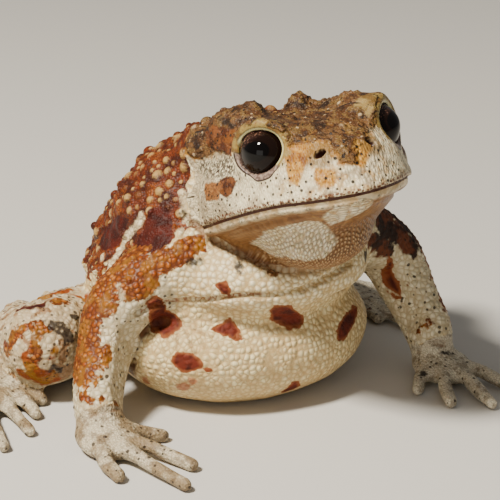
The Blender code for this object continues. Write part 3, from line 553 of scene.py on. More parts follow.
def keep_largest(obj):
    """Only the largest closed surface of the object."""
    only(obj)
    bpy.ops.object.mode_set(mode="EDIT")
    bpy.ops.mesh.select_all(action="SELECT")
    bpy.ops.mesh.separate(type="LOOSE")
    bpy.ops.object.mode_set(mode="OBJECT")
    parts = sorted(bpy.context.selected_objects, key=lambda o: -len(o.data.vertices))
    for part in parts[1:]:
        bpy.data.objects.remove(part)
    return parts[0]


def skin_base(nodes):
    """The skin over all the flesh, before its warts and folds."""
    skin = swollen_flesh(nodes)
    shape(skin, "REMESH", mode="VOXEL", voxel_size=BASE_STEP * MM)
    shape(skin, "SMOOTH", factor=0.5, iterations=BASE_EASE)
    shape(skin, "DISPLACE", strength=-SHRINK * MM, mid_level=0.0)
    pieces = [skin] + lips()
    for sign in SIDES.values():
        pieces += lids(sign)
    skin = join(pieces, "skin")
    shape(skin, "REMESH", mode="VOXEL", voxel_size=FINE_STEP * MM)
    shape(skin, "SMOOTH", factor=0.5, iterations=FINE_EASE)
    skin = keep_largest(skin)
    skin.name = "skin"
    return skin


def press(skin, path, width, depth):
    """A groove of the skin along a path."""
    place, normal = points_of(skin)
    set_points(skin, place - normal * (fall_off(place, path, width) * depth)[:, None])


def draw_arms_out(skin):
    """The forearms moved a little away from the belly."""
    for path, width, move in ARM_MOVES:
        place, _ = points_of(skin)
        share = fall_off(place, path, width)
        across = place @ ACROSS
        share *= 1 - fade(across, *RIGHT_ARM_END) if move[0] < 0 else fade(across, *LEFT_ARM_START)
        set_points(skin, place + np.outer(share, move))


def tuck_jaw(skin):
    """The lower jaw drawn in a little under the upper lip."""
    place, normal = points_of(skin)
    forward, _, up = in_head(place).T
    above = up - lip_level(forward)
    band = fade(above, -3.4, -1.5) * (1 - fade(above, -0.45, 0.05)) * fade(forward, -3, 3)
    band *= 1 - fade(reach_of(place, mouth_line()), 3.0, 4.0)
    level = normal @ np.array(HEAD)[:3, :3]
    level[:, 2] = 0
    level /= np.maximum(np.linalg.norm(level, axis=1), 0.3)[:, None]
    set_points(skin, place - (level * (band * JAW_TUCK)[:, None]) @ np.array(HEAD)[:3, :3].T)


def swell_crown(skin):
    """Knobs and swellings of the crown, higher than smoothing has left them."""
    place, normal = points_of(skin)
    own = in_head(place)
    rise = np.zeros(len(place))
    for *centre, radius, height in CROWN_SWELLINGS:
        away = np.linalg.norm(own - centre, axis=1) / radius
        rise += height * np.clip(1 - away**2, 0, 1) ** 1.2
    set_points(skin, place + normal * rise[:, None])


def hug_eyes(skin):
    """The lids' inner sides laid against the eyes."""
    place, _ = points_of(skin)
    for sign in SIDES.values():
        centre = np.array(eye_frame(sign).to_translation())
        away = place - centre
        reach = np.linalg.norm(away, axis=1)
        close = (reach > EYE_RADIUS - 0.6) & (reach < EYE_RADIUS + 0.32)
        place[close] = centre + away[close] / reach[close, None] * (EYE_RADIUS - 0.04)
    set_points(skin, place)


def nostrils(skin):
    """A slanting pit on each side of the snout's tip; returns their frames."""
    frames = []
    for sign in SIDES.values():
        look = HEAD.to_3x3() @ Vector((NOSTRIL_LOOK[0], sign * NOSTRIL_LOOK[1], NOSTRIL_LOOK[2])).normalized()
        middle = HEAD @ Vector((NOSTRIL_PLACE[0], sign * NOSTRIL_PLACE[1], NOSTRIL_PLACE[2]))
        _, hit, _, _ = skin.ray_cast((middle + look * 12) * MM, -look)
        frame = Matrix.Translation(hit / MM) @ look.to_track_quat("Z", "Y").to_matrix().to_4x4()
        frame = frame @ Matrix.Rotation(math.radians(sign * NOSTRIL_SLANT), 4, "Z")
        place, _ = points_of(skin)
        local = in_frame(place, frame)
        reach = np.hypot(local[:, 0] / NOSTRIL_SIZE[0], local[:, 1] / NOSTRIL_SIZE[1])
        near = np.abs(local[:, 2]) < 2.0
        pit = np.where(near, np.clip(1 - (reach / 1.25) ** 2, 0, 1), 0)
        rim = np.where(near, np.exp(-(((reach - 1.75) / 0.45) ** 2)), 0) * 0.28
        place += np.array(look) * (rim - pit**0.8 * NOSTRIL_DEPTH)[:, None]
        set_points(skin, place)
        frames.append(frame)
    return frames


def spread(place, radius, room, seed, kept=()):
    """Rows of places, taken in a random order, that keep clear of each other and of those kept before."""
    rows = np.flatnonzero(radius > 0)
    np.random.default_rng(seed).shuffle(rows)
    rows = rows[:SCATTER_TRIES]
    cell = 2 * room * max(radius.max(), 1.2)
    taken, chosen = {}, []

    def key_of(point):
        return tuple(int(c // cell) for c in point)

    for *point, reach in kept:
        taken.setdefault(key_of(point), []).append((np.array(point), reach))
    around = [(i, j, k) for i in (-1, 0, 1) for j in (-1, 0, 1) for k in (-1, 0, 1)]
    for row in rows:
        point, reach = place[row], radius[row]
        home = key_of(point)
        close = [spot for step in around for spot in taken.get(tuple(a + b for a, b in zip(home, step)), ())]
        if all(((point - other) ** 2).sum() > (room * (reach + far)) ** 2 for other, far in close):
            taken.setdefault(home, []).append((point, reach))
            chosen.append(row)
    return chosen


def dressed_regions(place, normal, parts):
    """Where the warts of each kind may grow."""
    forward, left, up = in_head(place).T
    head = head_share(forward, up) * parts["head"]
    back = back_share(place, normal) * (1 - head) * (parts["head"] + parts["torso"])
    crown = crown_share(forward, up) * head
    return head, back, crown


def head_share(forward, up):
    """1 on the head itself, 0 on the neck, chest and nape."""
    front = forward + 4.0 + 0.75 * np.minimum(up, 0) + fade(up, 0, 4)
    return np.clip(0.5 + front / 3.0, 0, 1)


def crown_share(forward, up):
    """1 on the top of the head, 0 on the cheeks."""
    edge = np.interp(forward, (12, 18, 20, 21.5, 23.5, 25.2, 26.2, 28), (10.5, 10.9, 10.6, 10.0, 9.0, 7.6, 6.2, 5.5))
    return np.clip(0.5 + (up - edge) / 3.0, 0, 1)


def back_share(place, normal):
    """1 on the back, 0 on the chest and belly."""
    x, y, z = place.T
    high = 0.5 * normal[:, 1] + 0.7 * normal[:, 2] + (z - 22.0) / 8.0 + 0.6 * np.clip((y + 6.0) / 12.0, 0, 1)
    high += 0.9 * fade(y, 12, 26)
    return np.clip(0.5 + (high - 0.4) * 0.8, 0, 1) * fade(y, -10.5, -7.5)


def outer_share(place, normal):
    """1 on the outer and upper side of a limb, 0 on its inner side."""
    sign = np.where(place[:, 0] > 0, 1.0, -1.0)
    outward = normal[:, 0] * sign * 0.75 + normal[:, 1] * 0.35 + normal[:, 2] * 0.45
    return np.clip(0.5 + (outward - 0.35) * 1.2, 0, 1)


def marked(place, marks, slope=1.2):
    """1 well inside the marks, 0 well outside and 0.5 on their edges."""
    field = np.zeros(len(place))
    for path, radius in marks:
        path = np.array(path, float)
        margin = radius + slope
        near = np.all((place > path.min(axis=0) - margin) & (place < path.max(axis=0) + margin), axis=1)
        away = reach_of(place[near], path) - radius
        field[near] = np.maximum(field[near], np.clip(0.5 - away / (2 * slope), 0, 1))
    return field


def patched(place, patches, slope=0.8, thick=4.0):
    """1 well inside the patches' corners, 0 well outside and 0.5 on their edges."""
    field = np.zeros(len(place))
    for corners in patches:
        corners = np.array(corners, float)
        middle = corners.mean(axis=0)
        _, _, axes = np.linalg.svd(corners - middle)
        near = np.flatnonzero(np.all(
            (place > corners.min(axis=0) - thick) & (place < corners.max(axis=0) + thick), axis=1
        ))
        local = (place[near] - middle) @ axes.T
        near, local = near[np.abs(local[:, 2]) < thick], local[np.abs(local[:, 2]) < thick]
        outline = (corners - middle) @ axes.T
        outline[:, 2] = 0
        local[:, 2] = 0
        inside = np.zeros(len(local), bool)
        for a, b in zip(outline, np.roll(outline, -1, axis=0)):
            crosses = (a[1] > local[:, 1]) != (b[1] > local[:, 1])
            rise = b[1] - a[1] if b[1] != a[1] else 1e-9
            inside ^= crosses & (local[:, 0] < (b[0] - a[0]) * (local[:, 1] - a[1]) / rise + a[0])
        away = reach_of(local, np.vstack([outline, outline[:1]])) * np.where(inside, 1, -1)
        field[near] = np.maximum(field[near], np.clip(0.5 + away / (2 * slope), 0, 1))
    return field


def belongs(skin, place, nodes, rounds):
    """How much each point of the skin belongs to each part of the body."""
    samples, labels = [], []
    inside = np.array([(1, 1, 1), (4, 1, 1), (1, 4, 1), (1, 1, 4), (3, 3, 1), (3, 1, 3), (1, 3, 3)], float)
    inside /= inside.sum(axis=1)[:, None]
    for name in FLESH:
        mesh = nodes[name].data
        mesh.calc_loop_triangles()
        corners = np.empty(len(mesh.loop_triangles) * 3, int)
        mesh.loop_triangles.foreach_get("vertices", corners)
        points, _ = points_of(nodes[name])
        spots = np.einsum("ab,tbc->tac", inside, points[corners.reshape(-1, 3)]).reshape(-1, 3)
        samples.append(spots)
        labels += [PART_KINDS[name.removesuffix("_left").removesuffix("_right")]] * len(spots)
    samples = np.vstack(samples)
    tree = tree_of(samples)
    nearest = np.array([labels[tree.find(point)[1]] for point in place])
    edges = np.empty(len(skin.data.edges) * 2, int)
    skin.data.edges.foreach_get("vertices", edges)
    one, two = edges.reshape(-1, 2).T
    degree = 1 + np.bincount(edges, minlength=len(place))
    shares = {}
    for kind in sorted(set(PART_KINDS.values())):
        share = (nearest == kind).astype(float)
        for _ in range(rounds):
            around = np.bincount(one, share[two], len(place)) + np.bincount(two, share[one], len(place))
            share = (share + around) / degree
        shares[kind] = share
    return shares


def grow_warts(skin, nodes):
    """Raised warts of the back, legs, crown and arms; returns their tops, radii and shades."""
    place, normal = points_of(skin)
    parts = belongs(skin, place, nodes, 10)
    _, back, crown = dressed_regions(place, normal, parts)
    rng = np.random.default_rng(WART_SEED)
    vary = rng.random(len(place))
    smooth_skin = patched(place, BODY_PATCHES["brick"]) > 0.45
    lidded = np.min(
        [np.linalg.norm(place - np.array(eye_frame(s).to_translation()), axis=1) for s in SIDES.values()], axis=0
    )
    outer = outer_share(place, normal)
    regions = {
        "back": (back > 0.55) & ~smooth_skin, "leg": (parts["leg"] > 0.6) & (outer > 0.4),
        "crown": (crown > 0.55) & (lidded > 6.0), "arm": (parts["arm"] > 0.6) & (outer > 0.5),
    }
    tree = tree_of(place)
    named = [(spot, TAN_SHADE) for spot in TAN_WARTS] + [(spot, PALE_SHADE) for spot in PALE_WARTS]
    chosen = [(tree.find(spot[:3])[1], spot[3], NAMED_RISE, shade) for spot, shade in named]
    kept = [spot for spot, _ in named]
    for seed, (region, (small, more, power, room, rise)) in enumerate(WART_KINDS.items()):
        radius = np.where(regions[region], small + more * vary**power, 0)
        for row in spread(place, radius, room, seed, kept):
            chosen.append((row, radius[row], rise * (0.75 + 0.5 * rng.random()), rng.random()))
    lift = np.zeros(len(place))
    grown = []
    for row, reach, rise, shade in chosen:
        height = rise * reach
        for _, i, away in tree.find_range(place[row], reach * 1.3):
            t = away / reach
            if t < 1:
                lift[i] = max(lift[i], height * (1 - t**2.4))
            elif lift[i] <= 0:
                lift[i] = min(lift[i], -0.12 * height * math.sin((t - 1) / 0.3 * math.pi))
        grown.append((*(place[row] + normal[row] * height), reach, shade))
    set_points(skin, place + normal * lift[:, None])
    return np.array(grown)


def wart_fields(place, grown):
    """How near each point is to the middle of a wart, and that wart's own shade."""
    tree = tree_of(place)
    near, tone = np.zeros(len(place)), np.full(len(place), 0.5)
    for x, y, z, reach, shade in grown:
        for _, i, away in tree.find_range((x, y, z), reach * 1.35):
            value = 1 - away / (reach * 1.35)
            if value > near[i]:
                near[i], tone[i] = value, shade
    return near, tone


def lumps(skin, size, height, seed):
    """Low uneven swellings all over the skin."""
    place, normal = points_of(skin)
    offset = Vector((seed * 13.7, seed * 5.1, seed * 9.3))
    rise = np.array([noise.noise(Vector(point) / size + offset) for point in place])
    set_points(skin, place + normal * (rise * height)[:, None])


def keep_detail(skin):
    """A weight for each point: high where fine shapes are seen closely."""
    place, _ = points_of(skin)
    forward, _, up = in_head(place).T
    weight = 0.25 + 0.5 * fade(forward + 0.3 * up, -8, 6) + 0.25 * fade(-place[:, 1], 5, 14)
    weight *= 0.35 + 0.65 * fade(place[:, 2], 0.2, 3.0)
    group = skin.vertex_groups.new(name="coarse")
    steps = np.round(np.clip(1 - weight, 0, 1) * 20).astype(int)
    for step in np.unique(steps):
        group.add(np.flatnonzero(steps == step).tolist(), step / 20, "REPLACE")


def finish_skin(skin):
    """The skin flat on the floor, thinned and shaded smooth."""
    place, _ = points_of(skin)
    place[:, 2] = np.maximum(place[:, 2], 0.0)
    set_points(skin, place)
    skin.data.calc_loop_triangles()
    now = len(skin.data.loop_triangles)
    keep_detail(skin)
    shape(
        skin, "DECIMATE", ratio=min(1.0, SKIN_TRIANGLES / now), use_collapse_triangulate=True, vertex_group="coarse",
        vertex_group_factor=DETAIL_PULL,
    )
    skin.vertex_groups.clear()
    only(skin)
    bpy.ops.object.shade_smooth()


def painted(place, mirrored, share, one_sided, marks, patches):
    """A field for each kind of marks and patches; all but the one-sided kinds show in mirror image too."""
    fields = {}
    for paint, kinds in ((marked, marks), (patched, patches)):
        for kind, outlines in kinds.items():
            value = paint(place, outlines)
            if kind not in one_sided:
                value = np.maximum(value, paint(mirrored, outlines) * share)
            fields[kind] = np.maximum(fields.get(kind, 0), value)
    return fields


def lid_fields(place):
    """How far each point lies outside an eye's opening, and 1 where it is on an upper lid."""
    rings, over = np.full(len(place), 9.0), np.zeros(len(place))
    for sign in SIDES.values():
        x, y, z = in_frame(place, eye_frame(sign)).T
        ring = (np.hypot(x / EYE_OPENING[1], y / EYE_OPENING[0]) - 1) * 3.5
        front = y * sign
        ring += 0.8 * fade(-front, 0.8, 2.4) * fade(-x, -2.6, -0.6) + 0.5 * fade(front, 1.5, 3.0) * fade(ring, 0.5, 0.9)
        ring = np.where((z > 0) & (ring < 6), ring, 9.0)
        over = np.where(ring < rings, fade(x + 0.42 * front, -2.4, -0.1), over)
        rings = np.minimum(ring, rings)
    return {"lid_ring": rings, "lid_over": over}


def pit_fields(place, pits):
    """1 inside the nostrils, where painted shade goes, and a wider field round them."""
    pit = np.zeros(len(place))
    for frame in pits:
        x, y, z = in_frame(place, frame).T
        ring = np.hypot(x / NOSTRIL_SIZE[0], y / NOSTRIL_SIZE[1])
        pit = np.maximum(pit, np.where(np.abs(z) < 2.5, 1 - fade(ring, 0.9, 1.7), 0))
    around = [np.linalg.norm(place - np.array(frame.to_translation()), axis=1) for frame in pits]
    return {"pit": pit, "near_pit": 1 - fade(np.min(around, axis=0), 1.2, 3.4)}


def fold_fields(place):
    """1 in the folds, less in shallow ones, where painted shade goes; and the rusty line of the chest's fold."""
    fold_shade = np.zeros(len(place))
    for points, width, depth in FOLDS.values():
        share = 1 - fade(reach_of(place, smooth_path(points)), 0.15, width + 0.15)
        fold_shade = np.maximum(fold_shade, share * min(depth / 0.6, 1))
    bottom = np.array(smooth_path(FOLDS["chest"][0])) + FOLD_BOTTOM
    rust = (1 - fade(reach_of(place, bottom), 0.0, 0.75)) * fade(-place[:, 0], -2, 6)
    return {"fold_shade": fold_shade, "fold_rust": rust}


def add_head_places(skin, own, above):
    """Places for the head's patterns: its own frame, and a flat one that runs round it; returns the reach."""
    forward, left, _ = own.T
    turn, reach = np.arctan2(left, forward - FACE_MIDDLE), np.hypot(forward - FACE_MIDDLE, left)
    outline = np.array([tuple(HEAD.inverted() @ Vector(p)) for p in mouth_line(steps=60)])
    lip_turn = np.arctan2(outline[:, 1], outline[:, 0] - FACE_MIDDLE)
    lip_reach = np.hypot(outline[:, 0] - FACE_MIDDLE, outline[:, 1])
    inward = np.maximum(np.interp(turn, lip_turn, lip_reach) - reach, 0)
    rise = np.where(above < 0, above - 0.8 * inward, above)
    for name, rows in (("face_place", np.stack([turn * FACE_REACH, rise, 0 * rise], 1)), ("head_place", own)):
        places = skin.data.attributes.new(name, "FLOAT_VECTOR", "POINT")
        places.data.foreach_set("vector", rows.astype(np.float32).ravel())
    return reach


def skin_fields(skin, nodes, grown, pits):
    """The fields that the skin's pattern reads, one value for each point."""
    place, normal = points_of(skin)
    own = in_head(place)
    forward, _, up = own.T
    parts = belongs(skin, place, nodes, 8)
    head, back, crown = dressed_regions(place, normal, parts)
    above = up - lip_level(forward)
    right = place[:, 0] < 0
    near, tone = wart_fields(place, grown)
    fields = {"wart": near, "tone": tone, "head": head, "back": back, "crown": crown}
    fields["above"] = np.clip(above, -12, 14)
    behind = fade(place[:, 1], -5, -2)
    body = painted(place, place * (-1, 1, 1), behind, ("rust",), BODY_MARKS, BODY_PATCHES)
    face = painted(own, own * (1, -1, 1), 1, ("ochre", "pale", "patch"), HEAD_MARKS, HEAD_PATCHES)
    face = {kind: value * head for kind, value in face.items()}
    arm = parts["arm"] * outer_share(place, normal) * fade(place[:, 2], 5.5, 10.5)
    fields["orange"] = np.maximum(body["orange"], np.where(right, arm, arm * 0.9))
    # Painted shadow: the shade marks, and the left arm's outer side from 16 to 22 mm up.
    fields["shade"] = np.maximum(body["shade"], np.where(right, 0, arm * fade(place[:, 2], 16, 22)))
    fields["rust"] = body["rust"]
    fields["face_rust"] = face["rust"]
    fields["ink"] = np.maximum(body["ink"], face["ink"])
    fields |= {kind: body[kind] for kind in ("rosy", "cream", "brick", "maroon_and_gap_shade")}
    fields |= {kind: face[kind] for kind in ("ochre", "tan", "grey", "pale", "patch")}
    fields["limb"] = parts["arm"] + parts["leg"]
    fields["leg"] = parts["leg"]
    fields["hand"] = np.clip(parts["hand"], 0, 1)
    fields["lip_near"] = (1 - fade(reach_of(place, mouth_line()), 1.5, 2.4)) * head
    fields["snout"] = fade(forward, 17, 23) * head
    reach = add_head_places(skin, own, above)
    fields["scaled"] = fade(reach, 4.0, 6.0) * (1 - fade(-above, 9.0, 10.5))
    add_fields(skin, fields | lid_fields(place) | pit_fields(place, pits) | fold_fields(place))


class Wiring:
    """Adds nodes to a tree and joins them."""

    def __init__(self, tree):
        self.tree = tree

    def feed(self, socket, value):
        """A socket joined to another, or set."""
        if isinstance(value, bpy.types.NodeSocket):
            self.tree.links.new(value, socket)
        else:
            socket.default_value = value

    def add(self, kind, settings=None, **values):
        """A node with its settings, its sockets fed by name."""
        node = self.tree.nodes.new("ShaderNode" + kind)
        count = len(self.tree.nodes)
        node.location = (count % 12 * 200, -(count // 12) * 260)
        for name, value in (settings or {}).items():
            setattr(node, name, value)
        for name, value in values.items():
            self.feed(node.inputs[name.replace("_", " ")], value)
        return node

    def sum(self, operation, a, b=0.0):
        """The result of one operation on two values."""
        node = self.add("Math", {"operation": operation})
        self.feed(node.inputs[0], a)
        self.feed(node.inputs[1], b)
        return node.outputs[0]

    def mix(self, share, a, b):
        """A colour between two colours, each a name of COLOURS or a socket."""
        node = self.add("Mix", {"data_type": "RGBA"})
        self.feed(node.inputs["Factor"], share)
        for socket, colour in ((node.inputs[6], a), (node.inputs[7], b)):
            self.feed(socket, (*COLOURS[colour], 1.0) if isinstance(colour, str) else colour)
        return node.outputs[2]

    def blend(self, share, a, b):
        """A value between two values."""
        node = self.add("Mix", {"data_type": "FLOAT"})
        self.feed(node.inputs["Factor"], share)
        self.feed(node.inputs[2], a)
        self.feed(node.inputs[3], b)
        return node.outputs[0]

    def step(self, value, low, high, start=0.0, end=1.0):
        """A smooth step from start to end while the value goes from low to high."""
        node = self.add("MapRange", {"interpolation_type": "SMOOTHSTEP"}, Value=value)
        for name, limit in (("From Min", low), ("From Max", high), ("To Min", start), ("To Max", end)):
            self.feed(node.inputs[name], limit)
        return node.outputs["Result"]

    def field(self, name):
        """Named values of the piece's points."""
        return self.add("Attribute", {"attribute_name": name}).outputs["Fac"]

    def cloud(self, place, scale, detail=3.0):
        """Soft noise."""
        return self.add("TexNoise", None, Vector=place, Scale=scale, Detail=detail).outputs["Fac"]

    def use(self, group, **values):
        """A node group, its sockets fed by name."""
        node = self.tree.nodes.new("ShaderNodeGroup")
        node.node_tree = group
        for name, value in values.items():
            self.feed(node.inputs[name.replace("_", " ")], value)
        return node


def new_group(name, inputs, outputs):
    """An empty node group with these sockets."""
    tree = bpy.data.node_groups.new(name, "ShaderNodeTree")
    kinds = {"Place": "NodeSocketVector"}
    for side, names in (("INPUT", inputs), ("OUTPUT", outputs)):
        for socket in names:
            tree.interface.new_socket(socket, in_out=side, socket_type=kinds.get(socket, "NodeSocketFloat"))
    inner, outer = tree.nodes.new("NodeGroupInput"), tree.nodes.new("NodeGroupOutput")
    return Wiring(tree), inner.outputs, outer.inputs


def ragged_edge_group():
    """A mask whose edge wanders in and out of a field's 0.5 line."""
    wires, given, out = new_group("ragged_edge", ("Field", "Cloud", "Wander", "Soft"), ("Mask",))
    drift = wires.sum("MULTIPLY", wires.sum("SUBTRACT", given["Cloud"], 0.5), given["Wander"])
    moved = wires.sum("ADD", given["Field"], drift)
    low, high = wires.sum("SUBTRACT", 0.5, given["Soft"]), wires.sum("ADD", 0.5, given["Soft"])
    wires.feed(out["Mask"], wires.step(moved, low, high))
    return wires.tree


def granules_group(name, dimensions):
    """Close-set round granules: their rounded height, the joints between them and a shade for each."""
    wires, given, out = new_group(name, ("Place", "Scale", "Disorder"), ("Dome", "Joint", "Shade"))
    look = {"Vector": given["Place"], "Scale": given["Scale"], "Randomness": given["Disorder"]}
    cells = wires.add("TexVoronoi", {"feature": "F1", "voronoi_dimensions": dimensions}, **look)
    edges = wires.add("TexVoronoi", {"feature": "DISTANCE_TO_EDGE", "voronoi_dimensions": dimensions}, **look)
    wires.feed(out["Dome"], wires.step(cells.outputs["Distance"], 0.74, 0.05))
    wires.feed(out["Joint"], wires.step(edges.outputs["Distance"], 0.14, 0.02))
    split = wires.add("SeparateColor", None, Color=cells.outputs["Color"])
    wires.feed(out["Shade"], split.outputs["Red"])
    return wires.tree


def specks_group(name, dimensions):
    """Scattered dots: some cells of a pattern hold one."""
    wires, given, out = new_group(name, ("Place", "Scale", "Amount", "Size"), ("Mask",))
    cells = wires.add(
        "TexVoronoi", {"feature": "F1", "voronoi_dimensions": dimensions},
        Vector=given["Place"], Scale=given["Scale"], Randomness=0.85,
    )
    split = wires.add("SeparateColor", None, Color=cells.outputs["Color"])
    present = wires.sum("LESS_THAN", split.outputs["Red"], given["Amount"])
    vary = wires.sum("ADD", 0.55, wires.sum("MULTIPLY", split.outputs["Green"], 0.6))
    size = wires.sum("MULTIPLY", given["Size"], vary)
    round_dot = wires.step(wires.sum("SUBTRACT", cells.outputs["Distance"], size), 0.05, -0.05)
    wires.feed(out["Mask"], wires.sum("MULTIPLY", round_dot, present))
    return wires.tree


def skin_material():
    """Warty, granular skin: ivory below, rust above, orange arms, a pale dotted face and a brown crown."""
    ragged = ragged_edge_group()
    granules, face_granules = granules_group("granules", "3D"), granules_group("face_granules", "2D")
    specks, face_specks = specks_group("specks", "3D"), specks_group("face_specks", "2D")
    material = bpy.data.materials.new("toad_skin")
    material.use_nodes = True
    wires = Wiring(material.node_tree)
    shader = material.node_tree.nodes["Principled BSDF"]
    mix, step, field, cloud = wires.mix, wires.step, wires.field, wires.cloud
    times, plus, less = (partial(wires.sum, kind) for kind in ("MULTIPLY", "ADD", "SUBTRACT"))
    place = wires.add("TexCoord").outputs["Object"]
    sway = wires.add("TexNoise", None, Vector=place, Scale=700.0, Detail=1.0).outputs["Color"]
    bend = wires.add("VectorMath", {"operation": "MULTIPLY_ADD"})
    for socket, value in zip(bend.inputs, (sway, (0.0005, 0.0005, 0.0005), place)):
        wires.feed(socket, value)
    uneven = bend.outputs[0]
    face_place = wires.add("Attribute", {"attribute_name": "face_place"}).outputs["Vector"]
    head_place = wires.add("Attribute", {"attribute_name": "head_place"}).outputs["Vector"]
    side, _, level = wires.add("SeparateXYZ", None, Vector=place).outputs
    broad, wide = cloud(place, 120.0, 4.0), cloud(place, 300.0, 4.0)
    middling, close = cloud(place, 430.0, 4.0), cloud(place, 760.0, 3.0)
    fine = cloud(place, 2200.0, 3.0)
    hair = cloud(place, 3600.0, 2.0)

    def mask(area, wander=0.5, drift=close, soft=0.06):
        area = field(area) if isinstance(area, str) else area
        return wires.use(ragged, Field=area, Cloud=drift, Wander=wander, Soft=soft).outputs["Mask"]

    def without(share):
        return less(1.0, share)

    def between(value, low, high, soft):
        return times(step(value, low - soft, low + soft), step(value, high + soft, high - soft))

    def stretched(x, y, z=1.0, source=face_place):
        node = wires.add("VectorMath", {"operation": "MULTIPLY"})
        wires.feed(node.inputs[0], source)
        node.inputs[1].default_value = (x, y, z)
        return node.outputs[0]

    large = wires.use(granules, Place=uneven, Scale=1080.0, Disorder=0.7).outputs
    small = wires.use(granules, Place=uneven, Scale=2100.0, Disorder=0.9).outputs
    scales = wires.use(face_granules, Place=stretched(0.74, 1.06), Scale=1.0, Disorder=0.6).outputs
    pores = wires.use(face_granules, Place=stretched(2.3, 1.3), Scale=1.0, Disorder=1.0).outputs

    def granular(pattern, joint, low, high, depth=1.0):
        """Colour of granules: dark joints and tops that differ a little."""
        top = mix(pattern["Shade"], low, high)
        top = mix(times(step(pattern["Dome"], 0.8, 0.1), 0.6 * depth), top, joint)
        return mix(times(pattern["Joint"], 0.8 * depth), top, joint)

    colour = granular(large, "belly joint", "belly low", "belly high", 0.7)
    colour = mix(times(step(broad, 0.50, 0.70), 0.35), colour, "belly tan")
    colour = mix(step(level, 9 * MM, 0.0, 0.0, 0.5), colour, "belly tan")
    colour = mix(times(step(level, 17 * MM, 21 * MM, 0.0, 0.55), large["Dome"]), colour, "chest white")
    height = times(large["Dome"], 0.24)
    rough = 0.5

    def lay(share, new_colour, new_height=None, new_rough=None):
        nonlocal colour, height, rough
        colour = mix(share, colour, new_colour)
        if new_height is not None:
            height = wires.blend(share, height, new_height)
        if new_rough is not None:
            rough = wires.blend(share, rough, new_rough)

    limb, head_mask = mask("limb", 0.3), mask("head", 1.3, wide, 0.05)
    tone, above, lip_near = field("tone"), field("above"), field("lip_near")
    jaw = times(step(plus(above, times(middling, 0.8)), -0.15, -1.2), head_mask)

    def limbs_and_hands():
        """Ivory limbs with tan and rusty blotches, and mottled hands and feet."""
        lay(limb, granular(large, "limb joint", "limb low", "limb high", 0.65), times(large["Dome"], 0.20))
        blotch = times(step(wide, 0.54, 0.60), step(field("leg"), 0.4, 0.8))
        lay(times(step(field("leg"), 0.4, 0.8), 0.35), "leg tan")
        lay(times(blotch, 0.8), "leg blotch")
        rusty_leg = times(step(broad, 0.53, 0.57), step(field("leg"), 0.4, 0.8))
        lay(rusty_leg, mix(step(middling, 0.44, 0.60), "orange low", "orange olive"))
        hand_skin = mix(step(wide, 0.42, 0.58), "hand low", "hand high")
        # The left hand paler: partly its own pale colour, partly painted light.
        hand_skin = mix(times(step(side, 0.0, 20 * MM), 0.6), hand_skin, "hand pale and lit")
        hand_skin = mix(times(step(close, 0.50, 0.38), 0.5), hand_skin, "hand line")
        hand_skin = mix(times(small["Joint"], 0.45), hand_skin, "hand line")
        lay(mask("hand", 0.6, wide), hand_skin, plus(times(close, 0.30), times(small["Dome"], 0.12)), 0.5)

    def back_and_warts():
        """Rusty back with tan warts, its two brick-red patches, and a maroon mark with painted shade in the gap between
        the right arm and the belly.
        """
        rust = mix(step(middling, 0.36, 0.62), "back deep", "back rust")
        rust = mix(times(step(wide, 0.52, 0.64), 0.75), rust, "back orange")
        rust = mix(times(small["Joint"], 0.8), rust, "back joint")
        wart = mix(step(tone, 0.3, 0.85), "wart brown", "wart tan")
        wart = mix(step(tone, 0.9, 1.3), wart, "wart pale")
        wart_mask = step(plus(field("wart"), times(less(fine, 0.5), 0.7)), 0.20, 0.75)
        rust = mix(times(wart_mask, step(tone, 0.1, 0.6)), rust, wart)
        lay(mask("back", 1.1, wide), rust, times(small["Dome"], 0.10), 0.5)
        brick = mix(step(middling, 0.38, 0.66), "brick deep", "brick")
        brick = mix(times(small["Joint"], 0.45), brick, "brick deep")
        lay(mask("brick", 0.6, close, 0.1), brick, times(small["Dome"], 0.12), 0.6)
        # Maroon with painted shade in the gap between the right arm and the belly.
        lay(times(mask("maroon_and_gap_shade", 0.6, close, 0.2), 0.85), "maroon_and_gap_shade")

    def shoulders_and_arms():
        """Orange, granular shoulders and arms with painted highlights on some granules' tops and painted shadow on the
        left arm's top, cream strips and dots.
        """
        orange = granular(large, "orange joint", "orange low", "orange high", 1.0)
        orange = mix(times(step(middling, 0.46, 0.60), 0.6), orange, "orange olive")
        orange = mix(times(step(close, 0.56, 0.64), 0.5), orange, "orange joint")
        # Painted highlights: some granules' tops lighter.
        painted_highlight = times(step(large["Dome"], 0.45, 1.0), step(large["Shade"], 0.35, 0.95, 0.05, 0.7))
        orange = mix(painted_highlight, orange, "orange painted highlight")
        orange_mask = mask("orange", 1.2, close, 0.08)
        lay(orange_mask, orange, times(large["Dome"], 0.24), 0.44)
        # Painted shadow on the left arm's top.
        shade = mix(step(middling, 0.42, 0.60), "painted shadow deep", "painted shadow brown")
        lay(mask("shade", 1.0, close, 0.12), shade, times(large["Dome"], 0.16), 0.75)
        cream = granular(large, "limb joint", "cream low", "cream high", 0.9)
        lay(mask("cream", 0.6, close, 0.12), cream)
        limb_dots = wires.use(specks, Place=uneven, Scale=900.0, Amount=0.75, Size=0.25).outputs["Mask"]
        dotted = wires.sum("MAXIMUM", limb, field("hand"))
        lay(times(times(limb_dots, times(dotted, without(times(orange_mask, 0.7)))), 0.85), "dot")

